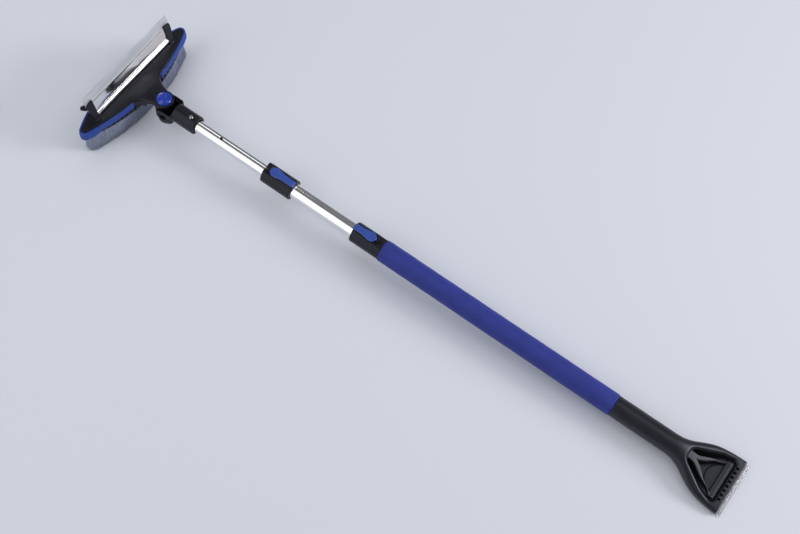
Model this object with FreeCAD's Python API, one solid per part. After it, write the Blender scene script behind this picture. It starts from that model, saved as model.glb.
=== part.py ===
"""Extendable snow brush with a squeegee on its pivoting head and an ice scraper at its handle end.

Every piece is drawn straight, in the tool's own frame: +X runs along the tubes from the brush head
to the scraper, +Y along the head and +Z up. The frame's origin is on the tubes' axis, at the foam
grip's upper end. At export the tool is tilted and moved as it lies at rest: on its bristle tips and
on the scraper blade's front edge, both at z = 0, centred over the origin. Millimetres.
"""
import FreeCAD, Part
import math
import os

V = FreeCAD.Vector

# ---------------------------------------------------------------- driving dimensions
# Telescopic tubes
OUTER_R = 15.0
MIDDLE_R = 13.0
UPPER_R = 11.0
TUBE_WALL = 1.1
SLIDE_GAP = 0.06          # radial play between a tube and the collar lip or bushing round it
UPPER_TRAVEL = 145.0      # how far the upper tube pushes into the middle one
MIDDLE_TRAVEL = 111.0     # how far the middle tube pushes into the outer one

# Stations along the tool
GRIP_LENGTH = 448.0
GRIP_R = 19.0
LOWER_COLLAR_LENGTH = 57.0
MIDDLE_SHOWN = 125.0      # bare length of the middle tube
UPPER_COLLAR_LENGTH = 58.5
UPPER_SHOWN = 145.5       # bare length of the upper tube
FERRULE_LENGTH = 43.5
CUP_LENGTH = 28.5         # from the pivot to the outside of the cup's end wall

# Collars and levers
COLLAR_R = 17.8
LIP_LENGTH = 10.0         # reduced bore at the collar's head end
HUMP_HALF_WIDTH = 11.6
HUMP_TOP = 19.2
LEVER_PIVOT_Z = 17.2
LEVER_TOP = 21.0
LEVER_NARROW_HALF = 6.0
LEVER_WIDE_R = 8.8
LEVER_PRESS = 8.0         # degrees
LEVER_PIN_R = 1.0
LOCK_PIN_R = 2.1
LOCK_PIN_LIFT = 0.3       # height of the lock pin's tip over the tube it locks

# Pivot joint
FERRULE_R = 16.4
CUP_HALF_WIDTH = 20.4
CUP_WALL = 2.4
CUP_TOP = 8.6
CUP_FLOOR_TOP = -12.0
CUP_FLOOR_BOTTOM = -15.0
BOSS_R = 17.0
BOSS_BORE = 14.1
BOSS_BOTTOM = -11.7
BOSS_FLOOR_TOP = -8.7
NECK_BOTTOM_OVER_CUP = 9.0
NECK_TOP = 16.5
NECK_HALF_WIDTH = 21.0
PIVOT_BOLT_R = 3.0
PIVOT_SLEEVE_R = 5.0
BUTTON_R = 13.8
BUTTON_TRAVEL = 3.0
RUN = 0.05                # radial clearance of a turning fit

# Head, measured from the pivot
HEAD_CENTRE = -68.0
DECK_HALF_DEPTH = 34.0
DECK_HALF_LENGTH = 134.0
DECK_TIP_R = 14.0
DECK_TOP = 13.0
BAND_THICK = 3.0
BAND_TOP = 11.0
BLOCK_TOP = -1.0
BLOCK_BOTTOM = -9.0
BLOCK_HALF_DEPTH = 35.5
BRISTLE_TIP = -54.0       # bristle tips under the head's centre line, below the tubes' axis

# Squeegee, standing on the deck and leaning away from the handle
SQUEEGEE_LEAN = 14.3      # degrees
SQUEEGEE_FOOT_X = -66.0   # from the pivot
SQUEEGEE_FOOT_Z = 17.5
CHANNEL_HALF_LENGTH = 94.0
CHANNEL_HEIGHT = 36.0
SQUEEGEE_HEIGHT = 54.0
SQUEEGEE_THICK = 2.0
SQUEEGEE_HALF_LENGTH = 106.0
CLIP_LENGTH = 10.0

# Scraper
BARREL_R = 18.0
BARREL_LENGTH = 105.0
FLARE_LENGTH = 113.5
SCRAPER_HALF_WIDTH = 50.5
SCRAPER_BOTTOM = -20.0
BLADE_THICK = 3.0
BLADE_OUT = 8.0           # blade showing past the black front edge
BLADE_IN = 26.0           # blade held inside the handle

# ---------------------------------------------------------------- derived stations
LOWER_COLLAR_HEAD_END = -LOWER_COLLAR_LENGTH
UPPER_COLLAR_GRIP_END = LOWER_COLLAR_HEAD_END - MIDDLE_SHOWN
UPPER_COLLAR_HEAD_END = UPPER_COLLAR_GRIP_END - UPPER_COLLAR_LENGTH
FERRULE_END = UPPER_COLLAR_HEAD_END - UPPER_SHOWN
CUP_END = FERRULE_END - FERRULE_LENGTH
PIVOT_X = CUP_END - CUP_LENGTH
HEAD_X = PIVOT_X + HEAD_CENTRE
BARREL_END = GRIP_LENGTH + BARREL_LENGTH
SCRAPER_FRONT = BARREL_END + FLARE_LENGTH
BLADE_EDGE = SCRAPER_FRONT + BLADE_OUT
LOWER_LOCK_X = LOWER_COLLAR_HEAD_END + 7.0
UPPER_LOCK_X = UPPER_COLLAR_GRIP_END - 8.5

# ---------------------------------------------------------------- resting pose
# The tilt brings the bristle tips and the blade's front edge to one level.
TILT = math.degrees(math.atan2(SCRAPER_BOTTOM - BRISTLE_TIP, BLADE_EDGE - HEAD_X))


def rest_placement():
    """The tool frame's place in the part's frame, as it lies at rest."""
    turn = FreeCAD.Rotation(V(0, 1, 0), TILT)
    front = turn.multVec(V(BLADE_EDGE, 0, SCRAPER_BOTTOM))
    back = turn.multVec(V(HEAD_X - BLOCK_HALF_DEPTH, 0, BLOCK_BOTTOM))
    return FreeCAD.Placement(V(-(front.x + back.x) / 2, 0, -front.z), turn)


REST = rest_placement()


# ---------------------------------------------------------------- basic solids
def rod_x(radius, x0, x1, z=0.0):
    return Part.makeCylinder(radius, x1 - x0, V(x0, 0, z), V(1, 0, 0))


def rod_y(radius, x, z, half_length):
    return Part.makeCylinder(radius, 2 * half_length, V(x, -half_length, z), V(0, 1, 0))


def rod_z(radius, x, y, z0, z1):
    return Part.makeCylinder(radius, z1 - z0, V(x, y, z0))


def pipe_x(outer, inner, x0, x1):
    return rod_x(outer, x0, x1).cut(rod_x(inner, x0 - 1, x1 + 1))


def ring_z(outer, inner, x, z0, z1):
    return rod_z(outer, x, 0, z0, z1).cut(rod_z(inner, x, 0, z0 - 1, z1 + 1))


def block(x0, x1, y0, y1, z0, z1):
    return Part.makeBox(x1 - x0, y1 - y0, z1 - z0, V(x0, y0, z0))


def fuse_all(shapes):
    result = shapes[0]
    for shape in shapes[1:]:
        result = result.fuse(shape)
    return result.removeSplitter()


def prism(points, z0, z1):
    """Straight-sided solid over a plan polygon of (x, y) points."""
    corners = [V(x, y, z0) for x, y in points]
    corners.append(corners[0])
    return Part.Face(Part.makePolygon(corners)).extrude(V(0, 0, z1 - z0))


def coil(radius, wire, x, z0, z1, turns):
    """Compression spring standing on z0, with its wire inside z0 to z1."""
    rise = z1 - z0 - 2 * wire
    helix = Part.makeHelix(rise / turns, rise, radius)
    start = Part.Wire(Part.makeCircle(wire, V(radius, 0, 0), V(0, 1, 0)))
    spring = Part.Wire(helix).makePipeShell([start], True, True)
    spring.translate(V(x, 0, z0 + wire))
    return spring


def cross_head_screw(x, z_seat, head_r, head_height, shank_r, z_tip):
    """Round-headed screw along Z, with its head above z_seat and a cross cut in it."""
    screw = rod_z(head_r, x, 0, z_seat, z_seat + head_height)
    top_edge = [e for e in screw.Edges if abs(e.BoundBox.ZMin - z_seat - head_height) < 1e-6]
    screw = screw.makeFillet(head_height * 0.45, top_edge)
    arm = head_r * 0.55
    slot = head_r * 0.13
    z0 = z_seat + head_height * 0.45
    z1 = z_seat + head_height + 1
    cross = block(x - arm, x + arm, -slot, slot, z0, z1)
    cross = cross.fuse(block(x - slot, x + slot, -arm, arm, z0, z1))
    return screw.cut(cross).fuse(rod_z(shank_r, x, 0, z_tip, z_seat))


# ---------------------------------------------------------------- scraper end
def scraper_section(x, half_width, bottom, top, squareness):
    """Closed smooth cross-section: a circle at squareness 2, nearly a rectangle at 8."""
    middle = (top + bottom) / 2
    half_height = (top - bottom) / 2
    count = 32
    points = []
    for i in range(count):
        angle = 2 * math.pi * i / count
        c = math.cos(angle)
        s = math.sin(angle)
        y = half_width * math.copysign(abs(c) ** (2 / squareness), c)
        z = middle + half_height * math.copysign(abs(s) ** (2 / squareness), s)
        points.append(V(x, y, z))
    curve = Part.BSplineCurve()
    curve.interpolate(points, PeriodicFlag=True)
    return Part.Wire(curve.toShape())


def pocket_outline(inset):
    """Plan of the triangular finger pocket in the flare."""
    rear = BARREL_END + 42 + inset
    front = SCRAPER_FRONT - 14 - inset
    return [(rear, -7 + inset * 0.4), (front - 20, -33 + inset), (front, -38 + inset),
            (front, 38 - inset), (front - 20, 33 - inset), (rear, 7 - inset * 0.4)]


def make_scraper_handle():
    """Barrel that flares, flattens and drops to the blade holder, with a ribbed pocket on top."""
    flare = [  # distance past the barrel, half width, bottom, top, squareness
        (-1.0, BARREL_R - 0.1, -BARREL_R + 0.1, BARREL_R - 0.1, 2.0),
        (14.0, 19.4, -18.3, 17.0, 2.2),
        (34.0, 29.0, -19.2, 11.5, 2.8),
        (60.0, 42.6, -19.8, 3.5, 3.6),
        (86.0, 48.4, SCRAPER_BOTTOM, -3.5, 5.0),
        (FLARE_LENGTH, SCRAPER_HALF_WIDTH, SCRAPER_BOTTOM, -9.0, 7.0),
    ]
    sections = [scraper_section(BARREL_END + d, w, lo, hi, sq) for d, w, lo, hi, sq in flare]
    body = Part.makeLoft(sections, True, False)
    body = body.fuse(rod_x(BARREL_R, GRIP_LENGTH, BARREL_END))
    body = body.cut(rod_x(OUTER_R, GRIP_LENGTH - 1, GRIP_LENGTH + 60))
    pocket_floor = SCRAPER_BOTTOM + BLADE_THICK + 2.5
    body = body.cut(prism(pocket_outline(0), pocket_floor, 20))
    bar_front = SCRAPER_FRONT - 16
    bar = block(bar_front - 9, bar_front, -33, 33, pocket_floor - 1, pocket_floor + 5)
    body = body.fuse(bar)
    for side in (-1, 1):
        rib = block(0, 42, -2.5, 2.5, pocket_floor - 1, pocket_floor + 4)
        rib.rotate(V(0, 0, 0), V(0, 0, 1), side * 32)
        rib.translate(V(BARREL_END + 52, 0, 0))
        body = body.fuse(rib.common(prism(pocket_outline(-1), pocket_floor - 2, 20)))
    for i in range(9):
        y = (i - 4) * 8.5
        x = SCRAPER_FRONT - 8
        body = body.cut(block(x - 3, x + 3, y - 1.6, y + 1.6, -12, 0))
    x = SCRAPER_FRONT - BLADE_IN
    body = body.cut(block(x, SCRAPER_FRONT + 1, -60, 60, SCRAPER_BOTTOM - 1, SCRAPER_BOTTOM + BLADE_THICK))
    for y in BLADE_PIN_Y:
        body = body.cut(rod_z(2.5, BLADE_PIN_X, y, SCRAPER_BOTTOM, SCRAPER_BOTTOM + 5))
    return body.cut(rod_z(1.9, HANDLE_SCREW_X, 0, -19, -13)).removeSplitter()


BLADE_PIN_Y = (-32.0, 0.0, 32.0)
BLADE_PIN_X = SCRAPER_FRONT - 6.0
HANDLE_SCREW_X = GRIP_LENGTH + 30.0


def make_scraper_blade():
    """Clear plate with a bevelled front edge."""
    w = SCRAPER_HALF_WIDTH - 0.5
    z0 = SCRAPER_BOTTOM
    z1 = z0 + BLADE_THICK
    x0 = SCRAPER_FRONT - BLADE_IN
    side = [V(x0, -w, z0), V(BLADE_EDGE, -w, z0), V(BLADE_EDGE, -w, z0 + 0.6),
            V(BLADE_EDGE - 5, -w, z1), V(x0, -w, z1), V(x0, -w, z0)]
    blade = Part.Face(Part.makePolygon(side)).extrude(V(0, 2 * w, 0))
    for y in BLADE_PIN_Y:
        blade = blade.cut(rod_z(2.5, BLADE_PIN_X, y, z0 - 1, z1 + 1))
    return blade


def make_blade_pins():
    z0 = SCRAPER_BOTTOM + 0.3
    return Part.makeCompound([rod_z(2.5, BLADE_PIN_X, y, z0, SCRAPER_BOTTOM + 5) for y in BLADE_PIN_Y])


def make_handle_screw():
    """Pan-head screw under the barrel that holds the outer tube."""
    head = rod_z(3.6, HANDLE_SCREW_X, 0, -BARREL_R - 1.6, -BARREL_R)
    shank = rod_z(1.9, HANDLE_SCREW_X, 0, -BARREL_R, -OUTER_R + TUBE_WALL - 1)
    return head.fuse(shank)


# ---------------------------------------------------------------- tubes and grip
def make_outer_tube():
    x0 = LOWER_COLLAR_HEAD_END + LIP_LENGTH
    tube = pipe_x(OUTER_R, OUTER_R - TUBE_WALL, x0, GRIP_LENGTH + 60)
    tube = tube.cut(rod_z(1.9, HANDLE_SCREW_X, 0, -OUTER_R - 1, -OUTER_R + 3))
    return tube.cut(rod_z(RIVET_R, LOWER_RIVET_X, 0, -OUTER_R - 1, -OUTER_R + 3))


def make_foam_grip():
    grip = pipe_x(GRIP_R, OUTER_R, 0, GRIP_LENGTH)
    rims = [e for e in grip.Edges if abs(e.BoundBox.YMax - GRIP_R) < 0.01 and e.BoundBox.XLength < 1]
    return grip.makeFillet(1.8, rims)


def make_middle_tube():
    """Carries the upper collar; its lock hole is where the lower lock pin goes when pushed in."""
    x0 = UPPER_COLLAR_HEAD_END + LIP_LENGTH
    tube = pipe_x(MIDDLE_R, MIDDLE_R - TUBE_WALL, x0, MIDDLE_TUBE_END)
    for x in (LOWER_LOCK_X, LOWER_LOCK_X - MIDDLE_TRAVEL):
        tube = tube.cut(rod_z(LOCK_PIN_R + 0.5, x, 0, 5, MIDDLE_R + 1))
    tube = tube.cut(rod_z(LOCK_PIN_R + 1.2, UPPER_LOCK_X, 0, 5, MIDDLE_R + 1))
    return tube.cut(rod_z(RIVET_R, UPPER_RIVET_X, 0, -MIDDLE_R - 1, -MIDDLE_R + 3))


def make_upper_tube():
    tube = pipe_x(UPPER_R, UPPER_R - TUBE_WALL, FERRULE_END - TUBE_IN_FERRULE, UPPER_TUBE_END)
    for x in (UPPER_LOCK_X, UPPER_LOCK_X - UPPER_TRAVEL):
        tube = tube.cut(rod_z(LOCK_PIN_R + 0.5, x, 0, 5, UPPER_R + 1))
    return tube.cut(rod_z(1.7, FERRULE_SCREW_X, 0, 5, UPPER_R + 1))


MIDDLE_TUBE_END = 62.0
UPPER_TUBE_END = UPPER_COLLAR_GRIP_END + 70.0
TUBE_IN_FERRULE = 38.0
FERRULE_SCREW_X = FERRULE_END - 13.5


def make_bushing(tube_r, guide_inner_r, x_end):
    """Plastic plug in a tube's inner end, with a flange that glides in the next tube."""
    flange = rod_x(guide_inner_r - SLIDE_GAP, x_end, x_end + 6)
    plug = flange.fuse(rod_x(tube_r - TUBE_WALL, x_end - 12, x_end))
    return plug.cut(rod_x(tube_r - TUBE_WALL - 2, x_end - 13, x_end + 7))


# ---------------------------------------------------------------- collars and levers
# A clasp is laid out along s, from its lock pin (s = 0) towards the lever's wide pad.
RIVET_R = 1.6


class Clasp:
    """One collar with its rocker lever: where it sits and which way its lever faces."""

    def __init__(self, lock_x, toward_pad, pad_s, pivot_s, collar_x0, collar_x1, own_r, inner_r):
        self.lock_x = lock_x
        self.toward_pad = toward_pad
        self.pad_s = pad_s
        self.pivot_s = pivot_s
        self.collar_x0 = collar_x0
        self.collar_x1 = collar_x1
        self.own_r = own_r
        self.inner_r = inner_r
        self.narrow_s = -8.0

    def x(self, s):
        return self.lock_x + self.toward_pad * s


LOWER_CLASP = Clasp(LOWER_LOCK_X, 1, 26.0, 14.0, LOWER_COLLAR_HEAD_END, 0.0, OUTER_R, MIDDLE_R)
UPPER_CLASP = Clasp(UPPER_LOCK_X, -1, 31.5, 17.0, UPPER_COLLAR_HEAD_END, UPPER_COLLAR_GRIP_END,
                    MIDDLE_R, UPPER_R)
LOWER_RIVET_X = -8.0
UPPER_RIVET_X = UPPER_COLLAR_GRIP_END - 40.0


def lever_plan(clasp, grow, z0, z1):
    """Lever's outline from above, grown all round: a narrow end, a taper and a round pad."""
    narrow = LEVER_NARROW_HALF + grow
    wide = LEVER_WIDE_R + grow
    waist_s = clasp.pivot_s - 6
    corners = [(clasp.narrow_s - grow, narrow), (waist_s, narrow), (clasp.pad_s - 3, wide),
               (clasp.pad_s, wide), (clasp.pad_s, -wide), (clasp.pad_s - 3, -wide),
               (waist_s, -narrow), (clasp.narrow_s - grow, -narrow)]
    body = prism([(clasp.x(s), y) for s, y in corners], z0, z1)
    return body.fuse(rod_z(wide, clasp.x(clasp.pad_s), 0, z0, z1)).removeSplitter()


def make_lever(clasp):
    """Rocker with a thin pad, a pivot barrel underneath and an arched top."""
    pivot_x = clasp.x(clasp.pivot_s)
    plate = lever_plan(clasp, 0, LEVER_TOP - 2.0, LEVER_TOP)
    foot_end = clasp.pivot_s + 2.2
    foot = [(clasp.x(clasp.narrow_s), -LEVER_NARROW_HALF), (clasp.x(foot_end), -LEVER_NARROW_HALF),
            (clasp.x(foot_end), LEVER_NARROW_HALF), (clasp.x(clasp.narrow_s), LEVER_NARROW_HALF)]
    lever = plate.fuse(prism(foot, LEVER_PIVOT_Z - 1.0, LEVER_TOP - 1.0))
    lever = lever.fuse(rod_y(1.9, pivot_x, LEVER_PIVOT_Z, LEVER_NARROW_HALF))
    lever = lever.cut(rod_y(LEVER_PIN_R + RUN, pivot_x, LEVER_PIVOT_Z, 20))
    return lever.removeSplitter()


def make_lock_pin(clasp):
    return rod_z(LOCK_PIN_R, clasp.lock_x, 0, clasp.inner_r + LOCK_PIN_LIFT, LEVER_PIVOT_Z - 1.0)


def make_lever_pin(clasp):
    return rod_y(LEVER_PIN_R, clasp.x(clasp.pivot_s), LEVER_PIVOT_Z, HUMP_HALF_WIDTH - 0.4)


def make_lever_spring(clasp):
    """Bowed leaf under the lever's pad, with its feet on the floor of the collar's pocket."""
    middle_x = clasp.x(clasp.pad_s - 1)
    half_width = 2.5

    def at(x, z):
        return V(middle_x + x, -half_width, SPRING_SEAT + z)

    rise = LEVER_TOP - 2.0 - SPRING_SEAT
    inner = LEAF_REACH - LEAF_THICK
    upper_arc = Part.Arc(at(-LEAF_REACH, 0), at(0, rise), at(LEAF_REACH, 0)).toShape()
    right_foot = Part.makeLine(at(LEAF_REACH, 0), at(inner, 0))
    lower_arc = Part.Arc(at(inner, 0), at(0, rise - LEAF_THICK), at(-inner, 0)).toShape()
    left_foot = Part.makeLine(at(-inner, 0), at(-LEAF_REACH, 0))
    profile = Part.Wire([upper_arc, right_foot, lower_arc, left_foot])
    return Part.Face(profile).extrude(V(0, 2 * half_width, 0))


SPRING_SEAT = OUTER_R + 0.1
LEAF_REACH = 5.5
LEAF_THICK = 0.5


def make_collar(clasp, rivet_x):
    """Sleeve on its own tube, with a lip round the sliding tube and a pocket for the lever."""
    collar = rod_x(COLLAR_R, clasp.collar_x0, clasp.collar_x1)
    hump = block(clasp.collar_x0, clasp.collar_x1, -HUMP_HALF_WIDTH, HUMP_HALF_WIDTH, 8, HUMP_TOP)
    long_edges = [e for e in hump.Edges if e.BoundBox.XLength > 10 and e.BoundBox.ZMin > 10]
    collar = collar.fuse(hump.makeFillet(3.0, long_edges))
    scoop_x = clasp.x(clasp.pad_s + LEVER_WIDE_R)
    scoop = Part.makeSphere(11.0, V(scoop_x, 0, HUMP_TOP + 6.5))
    collar = collar.cut(scoop)
    collar = collar.cut(lever_plan(clasp, 0.5, SPRING_SEAT, 30))
    collar = collar.cut(rod_z(LOCK_PIN_R + 1.2, clasp.lock_x, 0, 0, 20))
    collar = collar.cut(rod_x(clasp.inner_r + SLIDE_GAP, clasp.collar_x0 - 1, clasp.collar_x1 + 1))
    collar = collar.cut(rod_x(clasp.own_r, clasp.collar_x0 + LIP_LENGTH, clasp.collar_x1 + 1))
    collar = collar.cut(make_lever_pin(clasp))
    collar = collar.cut(rod_z(RIVET_R, rivet_x, 0, -COLLAR_R - 1, -10))
    return collar.removeSplitter()


def make_collar_rivet(clasp, rivet_x):
    """Blind rivet through the collar's underside into its tube."""
    shank = rod_z(RIVET_R, rivet_x, 0, -COLLAR_R, -clasp.own_r + TUBE_WALL)
    return shank.fuse(rod_z(3.0, rivet_x, 0, -COLLAR_R - 0.8, -COLLAR_R))


# ---------------------------------------------------------------- pivot joint
NUT_BOTTOM = CUP_FLOOR_BOTTOM - 4.0
LOCK_PLATE_BOTTOM = BOSS_FLOOR_TOP + 2.3
LOCK_PLATE_THICK = 3.0
LOCK_PLATE_R = 11.2
BOLT_HEAD_TOP = LOCK_PLATE_BOTTOM + LOCK_PLATE_THICK + 3.0
SLEEVE_BOTTOM = BOSS_FLOOR_TOP + BUTTON_TRAVEL + 0.3
SLEEVE_TOP = 6.0
BUTTON_SIDE_TOP = 17.4
BUTTON_DOME = 4.4


def rounded_plan(x0, x1, half_width, corner, z0, z1):
    """Block with its two corners at x1 rounded."""
    shape = block(x0, x1, -half_width, half_width, z0, z1)
    edges = [e for e in shape.Edges if e.BoundBox.ZLength > 1 and e.BoundBox.XMin > x1 - 0.1]
    return shape.makeFillet(corner, edges)


def make_yoke():
    """Ferrule on the upper tube, with the open-fronted cup that holds the head's boss."""
    ferrule = rod_x(FERRULE_R, CUP_END - 3, FERRULE_END)
    rim = [e for e in ferrule.Edges if e.BoundBox.XMin > FERRULE_END - 0.1]
    ferrule = ferrule.makeFillet(1.0, rim)
    cup_front = PIVOT_X - 5
    cup = rounded_plan(cup_front, CUP_END, CUP_HALF_WIDTH, 6.5, CUP_FLOOR_BOTTOM, CUP_TOP)
    lobes = [rod_z(13.0, PIVOT_X + 12, side * 12, CUP_FLOOR_BOTTOM - 1, -5.5) for side in (-1, 1)]
    nut_boss = rod_z(9.0, PIVOT_X, 0, NUT_BOTTOM, CUP_FLOOR_TOP)
    yoke = fuse_all([ferrule, cup, nut_boss] + lobes)
    inside = rounded_plan(cup_front - 30, CUP_END - CUP_WALL, CUP_HALF_WIDTH - CUP_WALL, 4.5,
                          CUP_FLOOR_TOP, CUP_TOP + 30)
    yoke = yoke.cut(inside)
    for side in (-1, 1):
        y0, y1 = sorted((side * 15, side * 30))
        yoke = yoke.cut(block(PIVOT_X + 8, PIVOT_X + 18, y0, y1, -5.4, -0.5))
    yoke = yoke.cut(rod_x(UPPER_R, FERRULE_END - TUBE_IN_FERRULE, FERRULE_END + 1))
    yoke = yoke.cut(rod_x(UPPER_R + 1.8, FERRULE_END - 3, FERRULE_END + 1))
    yoke = yoke.cut(rod_z(1.7, FERRULE_SCREW_X, 0, 5, 20))
    yoke = yoke.cut(rod_z(3.9, FERRULE_SCREW_X, 0, FERRULE_SCREW_SEAT, 20))
    yoke = yoke.cut(rod_z(PIVOT_BOLT_R, PIVOT_X, 0, NUT_BOTTOM - 1, 0))
    yoke = yoke.cut(hexagon(NUT_ACROSS_FLATS, NUT_BOTTOM - 1, NUT_BOTTOM + 3.4))
    return yoke.removeSplitter()


FERRULE_SCREW_SEAT = FERRULE_R - 1.4
NUT_ACROSS_FLATS = 10.0


def hexagon(across_flats, z0, z1):
    corner = across_flats / math.sqrt(3)
    angles = [math.radians(60 * i) for i in range(6)]
    return prism([(PIVOT_X + corner * math.cos(a), corner * math.sin(a)) for a in angles], z0, z1)


def make_ferrule_screw():
    return cross_head_screw(FERRULE_SCREW_X, FERRULE_SCREW_SEAT, 3.8, 2.6, 1.7, UPPER_R - TUBE_WALL - 1)


def make_pivot_sleeve():
    return ring_z(PIVOT_SLEEVE_R, PIVOT_BOLT_R, PIVOT_X, CUP_FLOOR_TOP, BOSS_FLOOR_TOP + 0.3)


def make_pivot_washer():
    return ring_z(9.0, PIVOT_BOLT_R, PIVOT_X, BOSS_FLOOR_TOP + 0.3, LOCK_PLATE_BOTTOM)


def make_lock_plate():
    """Round plate with twelve notches, one for each stop of the head's swing."""
    plate = ring_z(LOCK_PLATE_R, PIVOT_BOLT_R, PIVOT_X, LOCK_PLATE_BOTTOM,
                   LOCK_PLATE_BOTTOM + LOCK_PLATE_THICK)
    for i in range(12):
        angle = math.radians(30 * i)
        x = PIVOT_X + LOCK_PLATE_R * math.cos(angle)
        y = LOCK_PLATE_R * math.sin(angle)
        plate = plate.cut(rod_z(1.3, x, y, LOCK_PLATE_BOTTOM - 1, LOCK_PLATE_BOTTOM + 5))
    return plate


def make_pivot_bolt():
    head_z = LOCK_PLATE_BOTTOM + LOCK_PLATE_THICK
    head = rod_z(5.5, PIVOT_X, 0, head_z, BOLT_HEAD_TOP)
    return head.fuse(rod_z(PIVOT_BOLT_R, PIVOT_X, 0, NUT_BOTTOM, head_z))


def make_pivot_nut():
    nut = hexagon(NUT_ACROSS_FLATS, NUT_BOTTOM + 0.4, NUT_BOTTOM + 3.4)
    return nut.cut(rod_z(PIVOT_BOLT_R, PIVOT_X, 0, NUT_BOTTOM - 1, 0))


def make_lock_sleeve():
    """Tube under the button, with three inner lugs beside the lock plate's notches."""
    sleeve = ring_z(BUTTON_R, LOCK_PLATE_R + 0.7, PIVOT_X, SLEEVE_BOTTOM, SLEEVE_TOP)
    lugs = ring_z(LOCK_PLATE_R + 0.8, LOCK_PLATE_R + 0.15, PIVOT_X, SLEEVE_BOTTOM,
                  SLEEVE_BOTTOM + 2)
    wedges = []
    for i in range(3):
        wedge = block(0, 20, -1.2, 1.2, SLEEVE_BOTTOM, SLEEVE_BOTTOM + 2)
        wedge.rotate(V(0, 0, 0), V(0, 0, 1), 120 * i)
        wedge.translate(V(PIVOT_X, 0, 0))
        wedges.append(wedge)
    return sleeve.fuse(lugs.common(fuse_all(wedges))).removeSplitter()


def make_button_cap():
    """Domed blue cap on the lock sleeve, hollow underneath for the spring."""
    dome_r = (BUTTON_R ** 2 + BUTTON_DOME ** 2) / (2 * BUTTON_DOME)
    side = rod_z(BUTTON_R, PIVOT_X, 0, SLEEVE_TOP, BUTTON_SIDE_TOP + BUTTON_DOME)
    dome = Part.makeSphere(dome_r, V(PIVOT_X, 0, BUTTON_SIDE_TOP + BUTTON_DOME - dome_r))
    cap = side.common(dome.fuse(rod_z(BUTTON_R + 1, PIVOT_X, 0, SLEEVE_TOP - 1, BUTTON_SIDE_TOP)))
    return cap.cut(rod_z(7.5, PIVOT_X, 0, SLEEVE_TOP - 1, BUTTON_CEILING))


BUTTON_CEILING = 15.0


def make_button_spring():
    return coil(4.6, 0.5, PIVOT_X, BOLT_HEAD_TOP, BUTTON_CEILING, 5)


# ---------------------------------------------------------------- head
def lens_wire(half_depth, half_length, tip_r, z):
    """Symmetric lens in plan: two long arcs that meet two round tips smoothly."""
    big_r = (half_depth ** 2 - tip_r ** 2 + (half_length - tip_r) ** 2) / (2 * (half_depth - tip_r))
    tip_y = half_length - tip_r
    reach = math.hypot(big_r - half_depth, tip_y)
    join_x = tip_r * (big_r - half_depth) / reach
    join_y = tip_y + tip_r * tip_y / reach

    def at(x, y):
        return V(HEAD_X + x, y, z)

    arcs = [
        Part.Arc(at(join_x, -join_y), at(half_depth, 0), at(join_x, join_y)),
        Part.Arc(at(join_x, join_y), at(0, half_length), at(-join_x, join_y)),
        Part.Arc(at(-join_x, join_y), at(-half_depth, 0), at(-join_x, -join_y)),
        Part.Arc(at(-join_x, -join_y), at(0, -half_length), at(join_x, -join_y)),
    ]
    return Part.Wire([arc.toShape() for arc in arcs])


def lens(half_depth, half_length, tip_r, z0, z1):
    face = Part.Face(lens_wire(half_depth, half_length, tip_r, z0))
    return face.extrude(V(0, 0, z1 - z0))


def neck_plan(z0, z1):
    """Neck from the deck to the pivot boss, with a fillet on each side where it leaves the deck."""
    root_x = PIVOT_X - 40
    fillet = 15.0
    side_x = root_x + 5 + fillet
    w = NECK_HALF_WIDTH
    lean = fillet * math.sqrt(0.5)

    def at(x, y):
        return V(x, y, z0)

    upper_fillet = Part.Arc(at(side_x, w), at(side_x - lean, w + fillet - lean),
                            at(side_x - fillet, w + fillet))
    lower_fillet = Part.Arc(at(side_x - fillet, -w - fillet), at(side_x - lean, -w - fillet + lean),
                            at(side_x, -w))
    edges = [
        Part.makeLine(at(PIVOT_X, BOSS_R), at(side_x, w)),
        upper_fillet.toShape(),
        Part.makeLine(at(side_x - fillet, w + fillet), at(root_x - 5, w + fillet)),
        Part.makeLine(at(root_x - 5, w + fillet), at(root_x - 5, -w - fillet)),
        Part.makeLine(at(root_x - 5, -w - fillet), at(side_x - fillet, -w - fillet)),
        lower_fillet.toShape(),
        Part.makeLine(at(side_x, -w), at(PIVOT_X, -BOSS_R)),
        Part.makeLine(at(PIVOT_X, -BOSS_R), at(PIVOT_X, BOSS_R)),
    ]
    return Part.Face(Part.Wire(edges)).extrude(V(0, 0, z1 - z0))


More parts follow.
